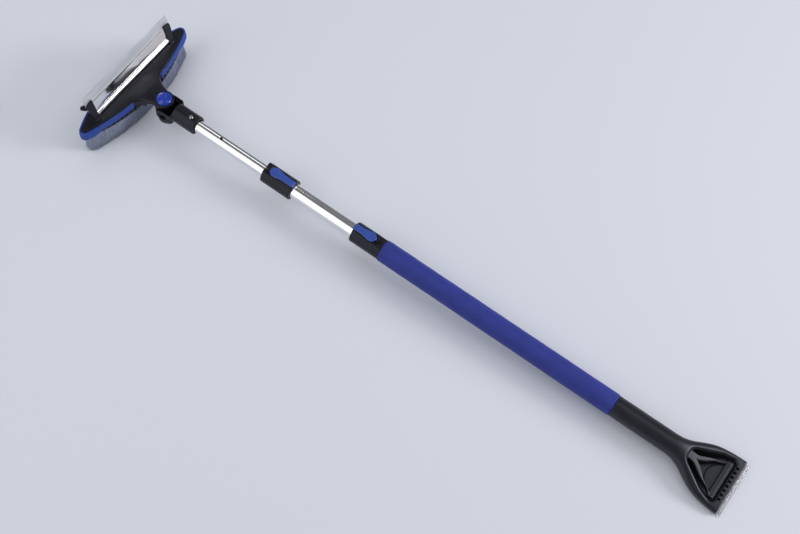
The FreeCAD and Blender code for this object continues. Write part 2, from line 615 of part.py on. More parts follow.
def make_head_body():
    """Deck, rail for the squeegee, neck and hollow boss, in one moulding."""
    inset = BAND_THICK
    deck = lens(DECK_HALF_DEPTH - inset, DECK_HALF_LENGTH - inset, DECK_TIP_R - inset, BLOCK_TOP, DECK_TOP)
    rail = block(HEAD_X - 6, HEAD_X + 8, -CHANNEL_HALF_LENGTH, CHANNEL_HALF_LENGTH,
                 DECK_TOP - 1, SQUEEGEE_FOOT_Z - 1.0)
    neck = neck_plan(BLOCK_TOP, NECK_TOP)
    under_cut = block(PIVOT_X - 22.5, PIVOT_X + 30, -30, 30, BLOCK_TOP - 1, NECK_BOTTOM_OVER_CUP)
    boss = rod_z(BOSS_R, PIVOT_X, 0, BOSS_BOTTOM, NECK_TOP)
    body = fuse_all([deck, rail, neck.cut(under_cut), boss])
    body = body.cut(rod_z(BOSS_BORE, PIVOT_X, 0, BOSS_FLOOR_TOP, NECK_TOP + 1))
    body = body.cut(rod_z(PIVOT_SLEEVE_R + RUN, PIVOT_X, 0, BOSS_BOTTOM - 1, 0))
    for y in CHANNEL_SCREW_Y:
        body = body.cut(rod_z(2.0, CHANNEL_SCREW_X, y, BLOCK_TOP - 1, 30))
        body = body.cut(rod_z(4.0, CHANNEL_SCREW_X, y, BLOCK_TOP - 1, BLOCK_TOP + 3))
    body = body.cut(squeegee_frame(squeegee_keepout()))
    return body.removeSplitter()


CHANNEL_SCREW_X = PIVOT_X + SQUEEGEE_FOOT_X - 1.0
CHANNEL_SCREW_Y = (-75.0, 0.0, 75.0)


def make_bumper_band():
    """Soft band round the deck's edge, open where the neck passes."""
    outer = lens(DECK_HALF_DEPTH, DECK_HALF_LENGTH, DECK_TIP_R, BLOCK_TOP, BAND_TOP)
    inset = BAND_THICK
    inner = lens(DECK_HALF_DEPTH - inset, DECK_HALF_LENGTH - inset, DECK_TIP_R - inset,
                 BLOCK_TOP - 1, BAND_TOP + 1)
    gap = NECK_HALF_WIDTH + 15.0
    return outer.cut(inner).cut(block(HEAD_X, HEAD_X + 60, -gap, gap, BLOCK_TOP - 1, BAND_TOP + 1))


def make_bristle_block():
    """Block under the deck, fuller than it in the middle, with slots along its handle side."""
    base = lens(BLOCK_HALF_DEPTH, DECK_HALF_LENGTH - 5, DECK_TIP_R - 4, BLOCK_BOTTOM, BLOCK_TOP)
    front_r = base.BoundBox.XMax
    for i in range(8):
        for side in (-1, 1):
            y = side * (24 + i * 9)
            drop = 0.5 * y * y / 390.0
            x = front_r - drop
            base = base.cut(block(x - 2.2, x + 3, y - 1.2, y + 1.2, BLOCK_BOTTOM + 2, BLOCK_TOP + 1))
    return base


def make_bristles():
    """Closed outer shape of the bristle field, splayed a little towards its tips."""
    roots = lens_wire(DECK_HALF_DEPTH - 4, DECK_HALF_LENGTH - 10, DECK_TIP_R - 5, BLOCK_BOTTOM)
    tips = lens_wire(DECK_HALF_DEPTH - 1, DECK_HALF_LENGTH - 6, DECK_TIP_R + 6, BRISTLE_TIP - 6)
    field = Part.makeLoft([roots, tips], True, True)
    below_floor = Part.makeBox(2000, 600, 100, V(-1000, -300, -100))
    below_floor.Placement = REST.inverse().multiply(below_floor.Placement)
    return field.cut(below_floor)


# ---------------------------------------------------------------- squeegee
# Its profile is drawn upright in (v, u): v towards the handle, u up from the rail, then leaned.
def squeegee_frame(shape):
    """Lean an upright squeegee piece back and set it on the rail."""
    placed = shape.copy()
    placed.rotate(V(0, 0, 0), V(0, 1, 0), -SQUEEGEE_LEAN)
    placed.translate(V(PIVOT_X + SQUEEGEE_FOOT_X, 0, SQUEEGEE_FOOT_Z))
    return placed


def squeegee_keepout():
    """Room for the channel's heel where it leans into the rail."""
    return block(-5, 6, -CHANNEL_HALF_LENGTH - 20, CHANNEL_HALF_LENGTH + 20, 0, 20)


def make_squeegee_channel():
    """Rolled bead, groove and tall face, with a slot in its top for the blade."""
    y0 = -CHANNEL_HALF_LENGTH
    along = 2 * CHANNEL_HALF_LENGTH
    bead = Part.makeCylinder(5.2, along, V(-0.6, y0, 5.2), V(0, 1, 0))
    heel = block(-3.2, 2.5, y0, y0 + along, 0, 12)
    web = block(-2.2, 0.8, y0, y0 + along, 10, 14)
    face = block(-2.2, 2.2, y0, y0 + along, 12.4, CHANNEL_HEIGHT)
    channel = fuse_all([bead, heel, web, face])
    half = SQUEEGEE_THICK / 2
    channel = channel.cut(block(-half, half, y0 - 1, y0 + along + 1, 24, CHANNEL_HEIGHT + 1))
    channel = squeegee_frame(channel)
    for y in CHANNEL_SCREW_Y:
        channel = channel.cut(rod_z(2.0, CHANNEL_SCREW_X, y, 0, 24))
    return channel


def make_squeegee_blade():
    half = SQUEEGEE_THICK / 2
    w = SQUEEGEE_HALF_LENGTH
    blade = block(-half, half, -w, w, 24, SQUEEGEE_HEIGHT)
    tip = [e for e in blade.Edges if e.BoundBox.YLength > 10 and e.BoundBox.ZMin > SQUEEGEE_HEIGHT - 0.1]
    return squeegee_frame(blade.makeChamfer(0.6, tip))


def make_squeegee_clip(side):
    """End clip that closes the channel, grips the blade and stands on the deck."""
    y0, y1 = sorted((side * CHANNEL_HALF_LENGTH, side * (CHANNEL_HALF_LENGTH + CLIP_LENGTH)))
    clip = block(-4.0, 4.6, y0, y1, -8, CHANNEL_HEIGHT + 4)
    clip = clip.fuse(block(-9.0, -4.0, y0 + 2, y1 - 2, CHANNEL_HEIGHT - 6, CHANNEL_HEIGHT + 1))
    half = SQUEEGEE_THICK / 2
    clip = clip.cut(block(-half, half, y0 - 1, y1 + 1, 24, CHANNEL_HEIGHT + 20))
    clip = squeegee_frame(clip)
    return clip.cut(block(HEAD_X - 50, HEAD_X + 50, y0 - 1, y1 + 1, -20, DECK_TOP))


def make_channel_screws():
    """Screws up through the deck into the squeegee channel."""
    screws = []
    for y in CHANNEL_SCREW_Y:
        head = rod_z(3.8, CHANNEL_SCREW_X, y, BLOCK_TOP + 0.2, BLOCK_TOP + 3)
        screws.append(head.fuse(rod_z(2.0, CHANNEL_SCREW_X, y, BLOCK_TOP + 3, 24)))
    return Part.makeCompound(screws)


# ---------------------------------------------------------------- the assembly
def all_nodes():
    return {
        "scraper_handle": make_scraper_handle(),
        "scraper_blade": make_scraper_blade(),
        "blade_pins": make_blade_pins(),
        "handle_screw": make_handle_screw(),
        "outer_tube": make_outer_tube(),
        "foam_grip": make_foam_grip(),
        "lower_collar": make_collar(LOWER_CLASP, LOWER_RIVET_X),
        "lower_collar_rivet": make_collar_rivet(LOWER_CLASP, LOWER_RIVET_X),
        "lower_lever_pin": make_lever_pin(LOWER_CLASP),
        "lower_lever_spring": make_lever_spring(LOWER_CLASP),
        "lower_lever": make_lever(LOWER_CLASP),
        "lower_lock_pin": make_lock_pin(LOWER_CLASP),
        "middle_tube": make_middle_tube(),
        "middle_bushing": make_bushing(MIDDLE_R, OUTER_R - TUBE_WALL, MIDDLE_TUBE_END),
        "upper_collar": make_collar(UPPER_CLASP, UPPER_RIVET_X),
        "upper_collar_rivet": make_collar_rivet(UPPER_CLASP, UPPER_RIVET_X),
        "upper_lever_pin": make_lever_pin(UPPER_CLASP),
        "upper_lever_spring": make_lever_spring(UPPER_CLASP),
        "upper_lever": make_lever(UPPER_CLASP),
        "upper_lock_pin": make_lock_pin(UPPER_CLASP),
        "upper_tube": make_upper_tube(),
        "upper_bushing": make_bushing(UPPER_R, MIDDLE_R - TUBE_WALL, UPPER_TUBE_END),
        "yoke": make_yoke(),
        "ferrule_screw": make_ferrule_screw(),
        "pivot_sleeve": make_pivot_sleeve(),
        "pivot_washer": make_pivot_washer(),
        "lock_plate": make_lock_plate(),
        "pivot_bolt": make_pivot_bolt(),
        "pivot_nut": make_pivot_nut(),
        "button_spring": make_button_spring(),
        "button_cap": make_button_cap(),
        "lock_sleeve": make_lock_sleeve(),
        "head_body": make_head_body(),
        "bumper_band": make_bumper_band(),
        "bristle_block": make_bristle_block(),
        "bristles": make_bristles(),
        "squeegee_channel": make_squeegee_channel(),
        "squeegee_blade": make_squeegee_blade(),
        "squeegee_clip_left": make_squeegee_clip(-1),
        "squeegee_clip_right": make_squeegee_clip(1),
        "channel_screws": make_channel_screws(),
    }


def export_all():
    os.makedirs("parts", exist_ok=True)
    for node, shape in all_nodes().items():
        placed = shape.copy()
        placed.Placement = REST.multiply(placed.Placement)
        placed.exportStep("parts/" + node + ".step")


export_all()
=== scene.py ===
"""Looks of the extendable snow brush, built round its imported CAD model.

Pieces are drawn in the tool's own frame, in millimetres: +X runs along the tubes from the brush head
to the scraper, +Y along the head and +Z up, with the origin on the tubes' axis at the foam grip's
upper end. TOOL places them in the row frame, in metres.
"""
import itertools
import math
import bmesh
import bpy
import numpy as np
from mathutils import Matrix, Vector


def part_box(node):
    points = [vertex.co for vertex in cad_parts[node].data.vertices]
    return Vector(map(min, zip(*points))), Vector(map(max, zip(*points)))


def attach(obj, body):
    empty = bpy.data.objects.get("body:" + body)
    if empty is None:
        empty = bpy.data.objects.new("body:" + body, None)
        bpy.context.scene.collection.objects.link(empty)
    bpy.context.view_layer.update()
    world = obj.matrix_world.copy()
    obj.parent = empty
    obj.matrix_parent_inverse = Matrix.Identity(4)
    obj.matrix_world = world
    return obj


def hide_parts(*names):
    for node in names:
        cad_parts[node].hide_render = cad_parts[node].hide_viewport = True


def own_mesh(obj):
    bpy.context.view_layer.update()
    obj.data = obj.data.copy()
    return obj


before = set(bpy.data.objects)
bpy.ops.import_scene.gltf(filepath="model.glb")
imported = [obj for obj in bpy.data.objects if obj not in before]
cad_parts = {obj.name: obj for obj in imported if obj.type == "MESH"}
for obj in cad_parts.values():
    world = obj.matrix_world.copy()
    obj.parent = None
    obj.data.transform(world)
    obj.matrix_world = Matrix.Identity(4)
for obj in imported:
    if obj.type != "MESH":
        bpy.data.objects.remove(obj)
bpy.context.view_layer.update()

MM = 0.001

# ---------------------------------------------------------------- driving dimensions, in millimetres
OUTER_R, MIDDLE_R, UPPER_R = 15.0, 13.0, 11.0
TUBE_WALL = 1.1
UPPER_TRAVEL, MIDDLE_TRAVEL = 145.0, 111.0

GRIP_LENGTH, GRIP_R, GRIP_END_ROUNDING = 448.0, 19.0, 2.4
LOWER_COLLAR_LENGTH, UPPER_COLLAR_LENGTH = 57.0, 58.5
MIDDLE_SHOWN, UPPER_SHOWN = 125.0, 145.5
FERRULE_LENGTH, CUP_LENGTH = 43.5, 28.5
MIDDLE_TUBE_END = 62.0

COLLAR_R = 17.8
LIP_LENGTH = 10.0
HUMP_HALF_WIDTH, HUMP_TOP = 11.6, 19.2
LEVER_PIVOT_Z, LEVER_TOP, LEVER_UNDER = 17.2, 21.0, 19.0
LEVER_NARROW_HALF, LEVER_WIDE_R = 6.0, 8.8
LEVER_PIN_R, LEVER_PIN_HALF_LENGTH, LOCK_PIN_R = 1.0, 9.0, 2.1
SLIDE_GAP = 0.06

FERRULE_R = 16.4
CUP_HALF_WIDTH, CUP_WALL, CUP_TOP = 20.4, 2.4, 8.6
CUP_FLOOR_TOP, CUP_FLOOR_BOTTOM = -12.0, -15.0
BOSS_R, BOSS_BORE, BOSS_BOTTOM, BOSS_FLOOR_TOP = 17.0, 14.1, -11.7, -8.7
NECK_OVER_CUP, NECK_TOP, NECK_HALF_WIDTH = 9.0, 16.5, 21.0
PIVOT_BOLT_R, PIVOT_SLEEVE_R = 3.0, 5.0
CUP_TURNING_R = 22.5  # how far from the pivot the head is hollowed out over the cup
NUT_BOTTOM, NUT_HEIGHT, NUT_ACROSS = -19.0, 3.4, 10.0
FERRULE_SCREW_SEAT, FERRULE_SCREW_R = FERRULE_R - 1.4, 1.7
BUTTON_R, BUTTON_SIDE_TOP, BUTTON_DOME = 13.8, 17.4, 4.4
BUTTON_FOOT, BUTTON_CEILING, BUTTON_BORE = 6.0, 15.0, 7.5

DECK_HALF_DEPTH, DECK_HALF_LENGTH, DECK_TIP_R = 34.0, 134.0, 9.0
DECK_TOP, BAND_THICK, BAND_TOP = 13.0, 3.0, 11.0
BLOCK_TOP, BLOCK_BOTTOM, BLOCK_HALF_DEPTH = -1.0, -9.0, 35.5
BRISTLE_TIP = -54.0

SQUEEGEE_LEAN = math.radians(14.3)
SQUEEGEE_FOOT_X, SQUEEGEE_FOOT_Z = -66.0, 17.5
CHANNEL_HALF_LENGTH, CHANNEL_HEIGHT = 94.0, 36.0
CHANNEL_SLOT_FLOOR, CHANNEL_SLOT_HALF = 24.0, 1.05
SQUEEGEE_HEIGHT, SQUEEGEE_HALF_LENGTH = 54.0, 106.0
CLIP_LENGTH = 10.0

BARREL_R, BARREL_LENGTH, FLARE_LENGTH = 18.0, 105.0, 113.5
SCRAPER_HALF_WIDTH, SCRAPER_BOTTOM = 50.5, -20.0
BLADE_THICK, BLADE_OUT, BLADE_IN, BLADE_LAND = 3.0, 8.0, 26.0, 0.6

# Stations along the tool, worked out from the lengths
LOWER_COLLAR_HEAD_END = -LOWER_COLLAR_LENGTH
UPPER_COLLAR_GRIP_END = LOWER_COLLAR_HEAD_END - MIDDLE_SHOWN
UPPER_COLLAR_HEAD_END = UPPER_COLLAR_GRIP_END - UPPER_COLLAR_LENGTH
FERRULE_END = UPPER_COLLAR_HEAD_END - UPPER_SHOWN
CUP_END = FERRULE_END - FERRULE_LENGTH
PIVOT_X = CUP_END - CUP_LENGTH
HEAD_X = PIVOT_X - 68.0
BARREL_END = GRIP_LENGTH + BARREL_LENGTH
SCRAPER_FRONT = BARREL_END + FLARE_LENGTH
BLADE_EDGE = SCRAPER_FRONT + BLADE_OUT
LOWER_LOCK_X = LOWER_COLLAR_HEAD_END + 7.0
UPPER_LOCK_X = UPPER_COLLAR_GRIP_END - 8.5
FERRULE_SCREW_X = FERRULE_END - 13.5
CHANNEL_SCREW_X = PIVOT_X + SQUEEGEE_FOOT_X - 1.0
CHANNEL_SCREW_Y = (-75.0, 0.0, 75.0)
HANDLE_SCREW_X = GRIP_LENGTH + 30.0
OUTER_TUBE_END = GRIP_LENGTH + 60.0
UPPER_TUBE_START, UPPER_TUBE_END = FERRULE_END - 38.0, UPPER_COLLAR_GRIP_END + 70.0


def tool_matrix():
    """The tool frame's place in the row frame, from the blade's box in the CAD model."""
    tilt = math.atan2(SCRAPER_BOTTOM - BRISTLE_TIP, BLADE_EDGE - HEAD_X)
    turn = Matrix.Rotation(tilt, 4, "Y")
    low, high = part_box("scraper_blade")
    front = turn @ Vector((BLADE_EDGE, 0, SCRAPER_BOTTOM + BLADE_LAND))
    lowest = turn @ Vector((BLADE_EDGE, 0, SCRAPER_BOTTOM))
    place = Matrix.Translation((high.x - front.x * MM, 0, low.z - lowest.z * MM))
    return place @ turn @ Matrix.Scale(MM, 4)


TOOL = tool_matrix()


# ---------------------------------------------------------------- materials
class Look:
    """A material in the making: its Principled shader and the nodes that feed it."""

    def __init__(self, name, colour, roughness, metallic=0.0, **sockets):
        self.material = bpy.data.materials.new(name)
        self.material.use_nodes = True
        self.tree = self.material.node_tree
        self.shader = self.tree.nodes["Principled BSDF"]
        self.shader.inputs["Base Color"].default_value = (*colour, 1)
        self.shader.inputs["Roughness"].default_value = roughness
        self.shader.inputs["Metallic"].default_value = metallic
        for key, value in sockets.items():
            self.shader.inputs[key.replace("_", " ")].default_value = value

    def add(self, kind, inputs, **settings):
        """A new node with its settings and inputs. An input is a value, or a socket to link from."""
        node = self.tree.nodes.new(kind)
        for key, value in settings.items():
            setattr(node, key, value)
        for key, value in inputs.items():
            if isinstance(value, bpy.types.NodeSocket):
                self.tree.links.new(value, node.inputs[key])
            else:
                node.inputs[key].default_value = value
        return node

    def place(self, stretch=(1, 1, 1)):
        """Object coordinates in metres, each one multiplied by its stretch."""
        coordinates = self.add("ShaderNodeTexCoord", {}).outputs["Object"]
        return self.add("ShaderNodeMapping", {"Vector": coordinates, "Scale": stretch}).outputs[0]

    def noise(self, scale, detail=3.0, rough=0.55, stretch=(1, 1, 1)):
        """Cloudy noise, mostly between 0.3 and 0.7."""
        inputs = {"Vector": self.place(stretch), "Scale": scale, "Detail": detail, "Roughness": rough}
        return self.add("ShaderNodeTexNoise", inputs).outputs["Fac"]

    def cells(self, scale):
        """Distance from the middle of each of many small random cells."""
        inputs = {"Vector": self.place(), "Scale": scale, "Randomness": 1.0}
        return self.add("ShaderNodeTexVoronoi", inputs).outputs["Distance"]

    def spread(self, value, low, high, from_low=0.3, from_high=0.7):
        """A value stretched from its own range, a noise's by default, to run from low to high."""
        inputs = {"Value": value, "From Min": from_low, "From Max": from_high, "To Min": low, "To Max": high}
        return self.add("ShaderNodeMapRange", inputs).outputs[0]

    def mix(self, factor, first, second):
        """From the first colour to the second. Each is a plain colour or a socket."""
        first, second = (c if isinstance(c, bpy.types.NodeSocket) else (*c, 1) for c in (first, second))
        inputs = {"Factor": factor, "A": first, "B": second}
        return self.add("ShaderNodeMix", inputs, data_type="RGBA").outputs["Result"]

    def tint(self, noise, first, second):
        """Two colours mixed over the whole range of a noise."""
        return self.mix(self.spread(noise, 0, 1), first, second)

    def total(self, first, second, **settings):
        """Two values added."""
        return self.add("ShaderNodeMath", {0: first, 1: second}, operation="ADD", **settings).outputs[0]

    def bump(self, layers):
        """Bumps one over another: each layer is (height socket, strength, distance in metres)."""
        normal = None
        for height, strength, distance in layers:
            node = self.add("ShaderNodeBump", {"Height": height, "Strength": strength, "Distance": distance})
            if normal is not None:
                self.tree.links.new(normal, node.inputs["Normal"])
            normal = node.outputs["Normal"]
        if normal is not None:
            self.tree.links.new(normal, self.shader.inputs["Normal"])
        return self.material

    def finish(self, base, rough, layers=()):
        """The material, with colour, roughness and bumps linked."""
        self.tree.links.new(base, self.shader.inputs["Base Color"])
        self.tree.links.new(rough, self.shader.inputs["Roughness"])
        return self.bump(layers)


def moulded_black(name, grain_size, roughness, grain_depth, gloss):
    """Satin black moulding with a fine eroded grain, and a painted highlight that lightens its convex edges.
    """
    look = Look(name, (0.010, 0.010, 0.013), roughness, Specular_IOR_Level=gloss,
                Specular_Tint=(0.80, 0.84, 1.0, 1))
    base = look.tint(look.noise(60, 4), (0.0065, 0.0065, 0.0085), (0.0105, 0.0105, 0.0135))
    # Painted highlight: convex edges, found by pointiness, are lightened towards pale grey.
    edge_highlight = look.spread(look.add("ShaderNodeNewGeometry", {}).outputs["Pointiness"], 0, 1, 0.53, 0.62)
    rubbed = look.noise(110, 6, 0.65, (1, 2.5, 1))
    return look.finish(look.mix(edge_highlight, base, (0.030, 0.030, 0.036)),
                       look.spread(rubbed, roughness - 0.03, roughness + 0.06),
                       [(look.noise(1 / grain_size, 2, 0.6), 0.5, grain_depth)])


def glossy_blue(name, colour, deep, roughness):
    """Blue ABS moulding: fine swirl marks, slight depth of colour and a soft orange peel."""
    look = Look(name, colour, roughness, Specular_IOR_Level=0.5, Coat_Weight=0.25, Coat_Roughness=0.12)
    scuffs = look.noise(240, 6, 0.7, (1, 9, 2))
    return look.finish(look.tint(look.noise(90), deep, colour),
                       look.spread(scuffs, roughness - 0.05, roughness + 0.12),
                       [(look.noise(420, 2), 0.12, 0.00008), (scuffs, 0.05, 0.00004)])


def blue_rubber():
    """Soft matt rubber with a dusty bloom."""
    look = Look("blue_rubber", (0.012, 0.05, 0.30), 0.48, Specular_IOR_Level=0.4)
    dust = look.noise(140, 5, 0.65)
    return look.finish(look.tint(dust, (0.009, 0.038, 0.25), (0.018, 0.065, 0.36)),
                       look.spread(dust, 0.42, 0.60),
                       [(look.noise(2600, 2), 0.4, 0.00005), (dust, 0.2, 0.0001)])


def blue_foam():
    """Closed-cell foam: tiny skinned cells, faint bumped pits darkened with painted shade, and a soft sheen.
    """
    look = Look("blue_foam", (0.030, 0.042, 0.27), 0.62, Specular_IOR_Level=0.35, Sheen_Weight=0.15,
                Sheen_Roughness=0.45, Sheen_Tint=(0.45, 0.52, 0.9, 1))
    mottle = look.noise(55, 5, 0.6)
    pits_and_painted_shade = look.spread(look.cells(420), 0, 1, 0.08, 0.22)
    base = look.tint(mottle, (0.018, 0.028, 0.215), (0.027, 0.041, 0.285))
    # The pits are bumps as well, and their colour is darkened as painted shade.
    return look.finish(look.mix(pits_and_painted_shade, (0.017, 0.024, 0.17), base), look.spread(mottle, 0.56, 0.70),
                       [(look.cells(1500), 0.5, 0.00018), (pits_and_painted_shade, 0.35, 0.00012), (mottle, 0.25, 0.0003)])


def drawn_metal(name, colour, roughness, along, streak=0.10, painted_reflection=None):
    """Drawn and polished aluminium: hair-fine lines along the drawing direction and a few handling marks.

    The last argument, if given, is a warm tint painted over the +Y half as a reflection.
    """
    look = Look(name, colour, roughness, metallic=1.0)
    fine, soft = ((share, 1, 1) if along == "x" else (1, share, 1) for share in (0.012, 0.3))
    lines = look.noise(2600, 3, 0.7, fine)
    clouds = look.noise(70, 4, stretch=soft)
    tone = look.tint(lines, tuple(0.95 * c for c in colour), colour)
    if painted_reflection is not None:
        # Painted reflection: a warm tint fades in over the +Y half, standing for surroundings seen in the
        # polished face.
        across = look.add("ShaderNodeSeparateXYZ", {0: look.place()}).outputs["Y"]
        tone = look.mix(look.spread(across, 0, 0.85, -0.012, 0.03), tone, painted_reflection)
    marks = look.total(look.spread(lines, 0, streak), look.spread(clouds, 0, 0.05))
    layers = [(lines, 0.04, 0.00001)] if along == "x" else []
    return look.finish(tone, look.total(marks, roughness), layers)


def plated_steel(name, dull, bright):
    """Plated hardware with a slightly cloudy finish."""
    look = Look(name, bright, 0.28, metallic=1.0)
    cloud = look.noise(320, 5, 0.65)
    return look.finish(look.tint(cloud, dull, bright), look.spread(cloud, 0.18, 0.40),
                       [(cloud, 0.1, 0.00003)])


def bristle_plastic():
    """Grey-blue filaments. Each one has its own tone, kept on its points."""
    look = Look("bristle_filament", (0.40, 0.43, 0.54), 0.45, Specular_IOR_Level=0.45)
    tone = look.add("ShaderNodeAttribute", {}, attribute_name="tone").outputs["Fac"]
    drift = look.noise(120)
    share = look.total(tone, look.spread(drift, -0.15, 0.15), use_clamp=True)
    return look.finish(look.mix(share, (0.30, 0.34, 0.47), (0.60, 0.66, 0.82)),
                       look.spread(drift, 0.38, 0.55))


def clear_plastic():
    """Polycarbonate blade plate, with fine scratches along the scraping direction."""
    look = Look("clear_blade", (0.74, 0.75, 0.80), 0.18, IOR=1.5, Transmission_Weight=0.72)
    scratches = look.noise(900, 4, 0.7, (0.2, 3, 1))
    return look.finish(look.tint(scratches, (0.60, 0.61, 0.67), (0.67, 0.68, 0.74)),
                       look.spread(scratches, 0.12, 0.24), [(scratches, 0.15, 0.00005)])


def clear_rubber():
    """Translucent squeegee rubber: whitish, with a faint cloudy body."""
    look = Look("clear_rubber", (0.80, 0.83, 0.88), 0.38, IOR=1.42, Transmission_Weight=0.55)
    cloud = look.noise(90, 4, stretch=(1, 0.15, 1))
    return look.finish(look.tint(cloud, (0.74, 0.77, 0.82), (0.88, 0.90, 0.94)),
                       look.spread(cloud, 0.30, 0.48), [(cloud, 0.1, 0.0001)])


BLACK = moulded_black("black_moulding", 0.00045, 0.34, 0.00004, 0.36)
BLACK_GRIP = moulded_black("black_satin_handle", 0.0006, 0.37, 0.00005, 0.58)
BLUE_LEVER = glossy_blue("blue_lever", (0.026, 0.072, 0.37), (0.020, 0.058, 0.31), 0.34)
BLUE_BUTTON = glossy_blue("blue_button", (0.010, 0.040, 0.38), (0.007, 0.030, 0.31), 0.20)
BLUE_RUBBER = blue_rubber()
BLUE_FOAM = blue_foam()
TUBE_METAL = drawn_metal("polished_tube", (0.90, 0.90, 0.91), 0.06, "x", 0.08)
CHANNEL_METAL = drawn_metal("polished_channel", (0.93, 0.93, 0.94), 0.07, "y", 0.02)
# The channel's face carries a warm painted reflection over its +Y half.
CHANNEL_FACE_PAINTED_REFLECTION = drawn_metal("channel_face_painted_reflection", (0.90, 0.90, 0.93), 0.06, "y", 0.04,
                                 (0.74, 0.66, 0.62))
STEEL = plated_steel("zinc_steel", (0.48, 0.49, 0.52), (0.70, 0.71, 0.72))
DARK_STEEL = plated_steel("blackened_steel", (0.03, 0.03, 0.035), (0.06, 0.06, 0.065))
CATCH_STEEL = drawn_metal("bright_catch", (0.88, 0.92, 0.97), 0.16, "x", 0.10)
FILAMENT = bristle_plastic()
CLEAR_BLADE = clear_plastic()
CLEAR_RUBBER = clear_rubber()


# ---------------------------------------------------------------- making pieces
def piece(name, points, faces, material, body, nodes, sharp=None):
    """An object from points in the tool frame. It rides on body and stands for the CAD nodes."""
    mesh = bpy.data.meshes.new(name)
    mesh.from_pydata([tuple(p) for p in points], [], [tuple(f) for f in faces])
    mesh.transform(TOOL)
    mesh.validate()
    mesh.shade_smooth()
    if sharp is not None:
        mesh.set_sharp_from_angle(angle=math.radians(sharp))
    mesh.materials.append(material)
    item = bpy.data.objects.new(name, mesh)
    bpy.context.scene.collection.objects.link(item)
    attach(item, body)
    if nodes:
        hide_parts(*nodes)
    return item


def weld(item, gap=0.00002):
    """Joins points that lie on each other and makes the faces look outwards."""
    work = bmesh.new()
    work.from_mesh(item.data)
    bmesh.ops.remove_doubles(work, verts=work.verts, dist=gap)
    bmesh.ops.recalc_face_normals(work, faces=work.faces)
    work.to_mesh(item.data)
    work.free()


CORNERS = np.array(list(itertools.product((0, 1), repeat=3)))
EDGES = [(a, b) for a in range(8) for b in range(a + 1, 8) if abs(CORNERS[a] - CORNERS[b]).sum() == 1]
BLOCK_CELLS = 8


def sample(distance, axes):
    """The distance at every grid point, worked out closely only in blocks that the surface may cross."""
    shape = tuple(len(a) for a in axes)
    cell = axes[0][1] - axes[0][0]
    blocks = [a[::BLOCK_CELLS] + cell * BLOCK_CELLS / 2 for a in axes]
    coarse = distance(*np.meshgrid(*blocks, indexing="ij"))
    fine = coarse
    for k in range(3):
        fine = np.repeat(fine, BLOCK_CELLS, axis=k)
    fine = fine[:shape[0], :shape[1], :shape[2]].copy()
    reach = cell * BLOCK_CELLS * math.sqrt(3) / 2
    near = np.abs(fine) < reach * 1.8
    i, j, k = np.nonzero(near)
    fine[near] = distance(axes[0][i], axes[1][j], axes[2][k])
    return fine


def slopes(distance, points, step):
    """The distance's slope along each axis at each point."""
    columns = []
    for direction in np.eye(3) * step:
        columns.append((distance(*(points + direction).T) - distance(*(points - direction).T)) / (2 * step))
    return np.stack(columns, 1)


def settle(distance, points, cell, times):
    """Points moved on to the surface."""
    for _ in range(times):
        value = distance(*points.T)
        slope = slopes(distance, points, cell * 0.05)
        step = (value / np.maximum((slope ** 2).sum(1), 0.2))[:, None] * slope
        points = points - np.clip(step, -0.5 * cell, 0.5 * cell)
    return points


def relaxed(points, quads):
    """Each point at the average of its neighbours."""
    total = np.zeros_like(points)
    count = np.zeros(len(points))
    for a in range(4):
        for b in ((a + 1) % 4, (a + 3) % 4):
            np.add.at(total, quads[:, a], points[quads[:, b]])
            np.add.at(count, quads[:, a], 1)
    return total / np.maximum(count, 1)[:, None]


def skin(distance, low, high, cell):
    """Points and quads of the closed surface where distance(x, y, z) is zero, between low and high."""
    axes = [np.arange(a - 2 * cell, b + 3 * cell, cell) for a, b in zip(low, high)]
    field = sample(distance, axes)
    inside = field < 0
    size = np.array(field.shape) - 1
    corners_in = np.zeros(size, np.int8)
    for i, j, k in CORNERS:
        corners_in += inside[i:i + size[0], j:j + size[1], k:k + size[2]]
    cells = np.argwhere((corners_in > 0) & (corners_in < 8))
    index = np.full(size, -1)
    index[tuple(cells.T)] = np.arange(len(cells))
    values = np.stack([field[tuple((cells + c).T)] for c in CORNERS], 1)
    total = np.zeros((len(cells), 3))
    count = np.zeros(len(cells))
    for a, b in EDGES:
        crossing = (values[:, a] < 0) != (values[:, b] < 0)
        span = np.where(crossing, values[:, a] - values[:, b], 1)
        t = np.where(crossing, values[:, a] / span, 0)
        total += crossing[:, None] * (CORNERS[a] + t[:, None] * (CORNERS[b] - CORNERS[a]))
        count += crossing
    origin = np.array([a[0] for a in axes])
    points = origin + (cells + total / count[:, None]) * cell
    quads = []
    for axis in range(3):
        u, v = (axis + 1) % 3, (axis + 2) % 3
        ahead = np.roll(inside, -1, axis)
        change = inside != ahead
        for k, edge in ((axis, -1), (u, 0), (u, -1), (v, 0), (v, -1)):
            change[tuple(slice(None) if n != k else edge for n in range(3))] = False
        spots = np.argwhere(change)
        ring = []
        for du, dv in ((-1, -1), (0, -1), (0, 0), (-1, 0)):
            at = spots.copy()
            at[:, u] += du
            at[:, v] += dv
            ring.append(index[tuple(at.T)])
        ring = np.stack(ring, 1)
        outward = inside[tuple(spots.T)]
        quads.append(np.where(outward[:, None], ring, ring[:, ::-1]))
    quads = np.concatenate(quads)
    points = settle(distance, points, cell, 3)
    for _ in range(2):
        points = 0.5 * points + 0.5 * relaxed(points, quads)
        points = settle(distance, points, cell, 2)
    return points, quads


def moulded(name, distance, low, high, cell, material, body, nodes):
    """A piece with the skin of a distance function."""
    points, quads = skin(distance, low, high, cell)
    return piece(name, points, quads, material, body, nodes)


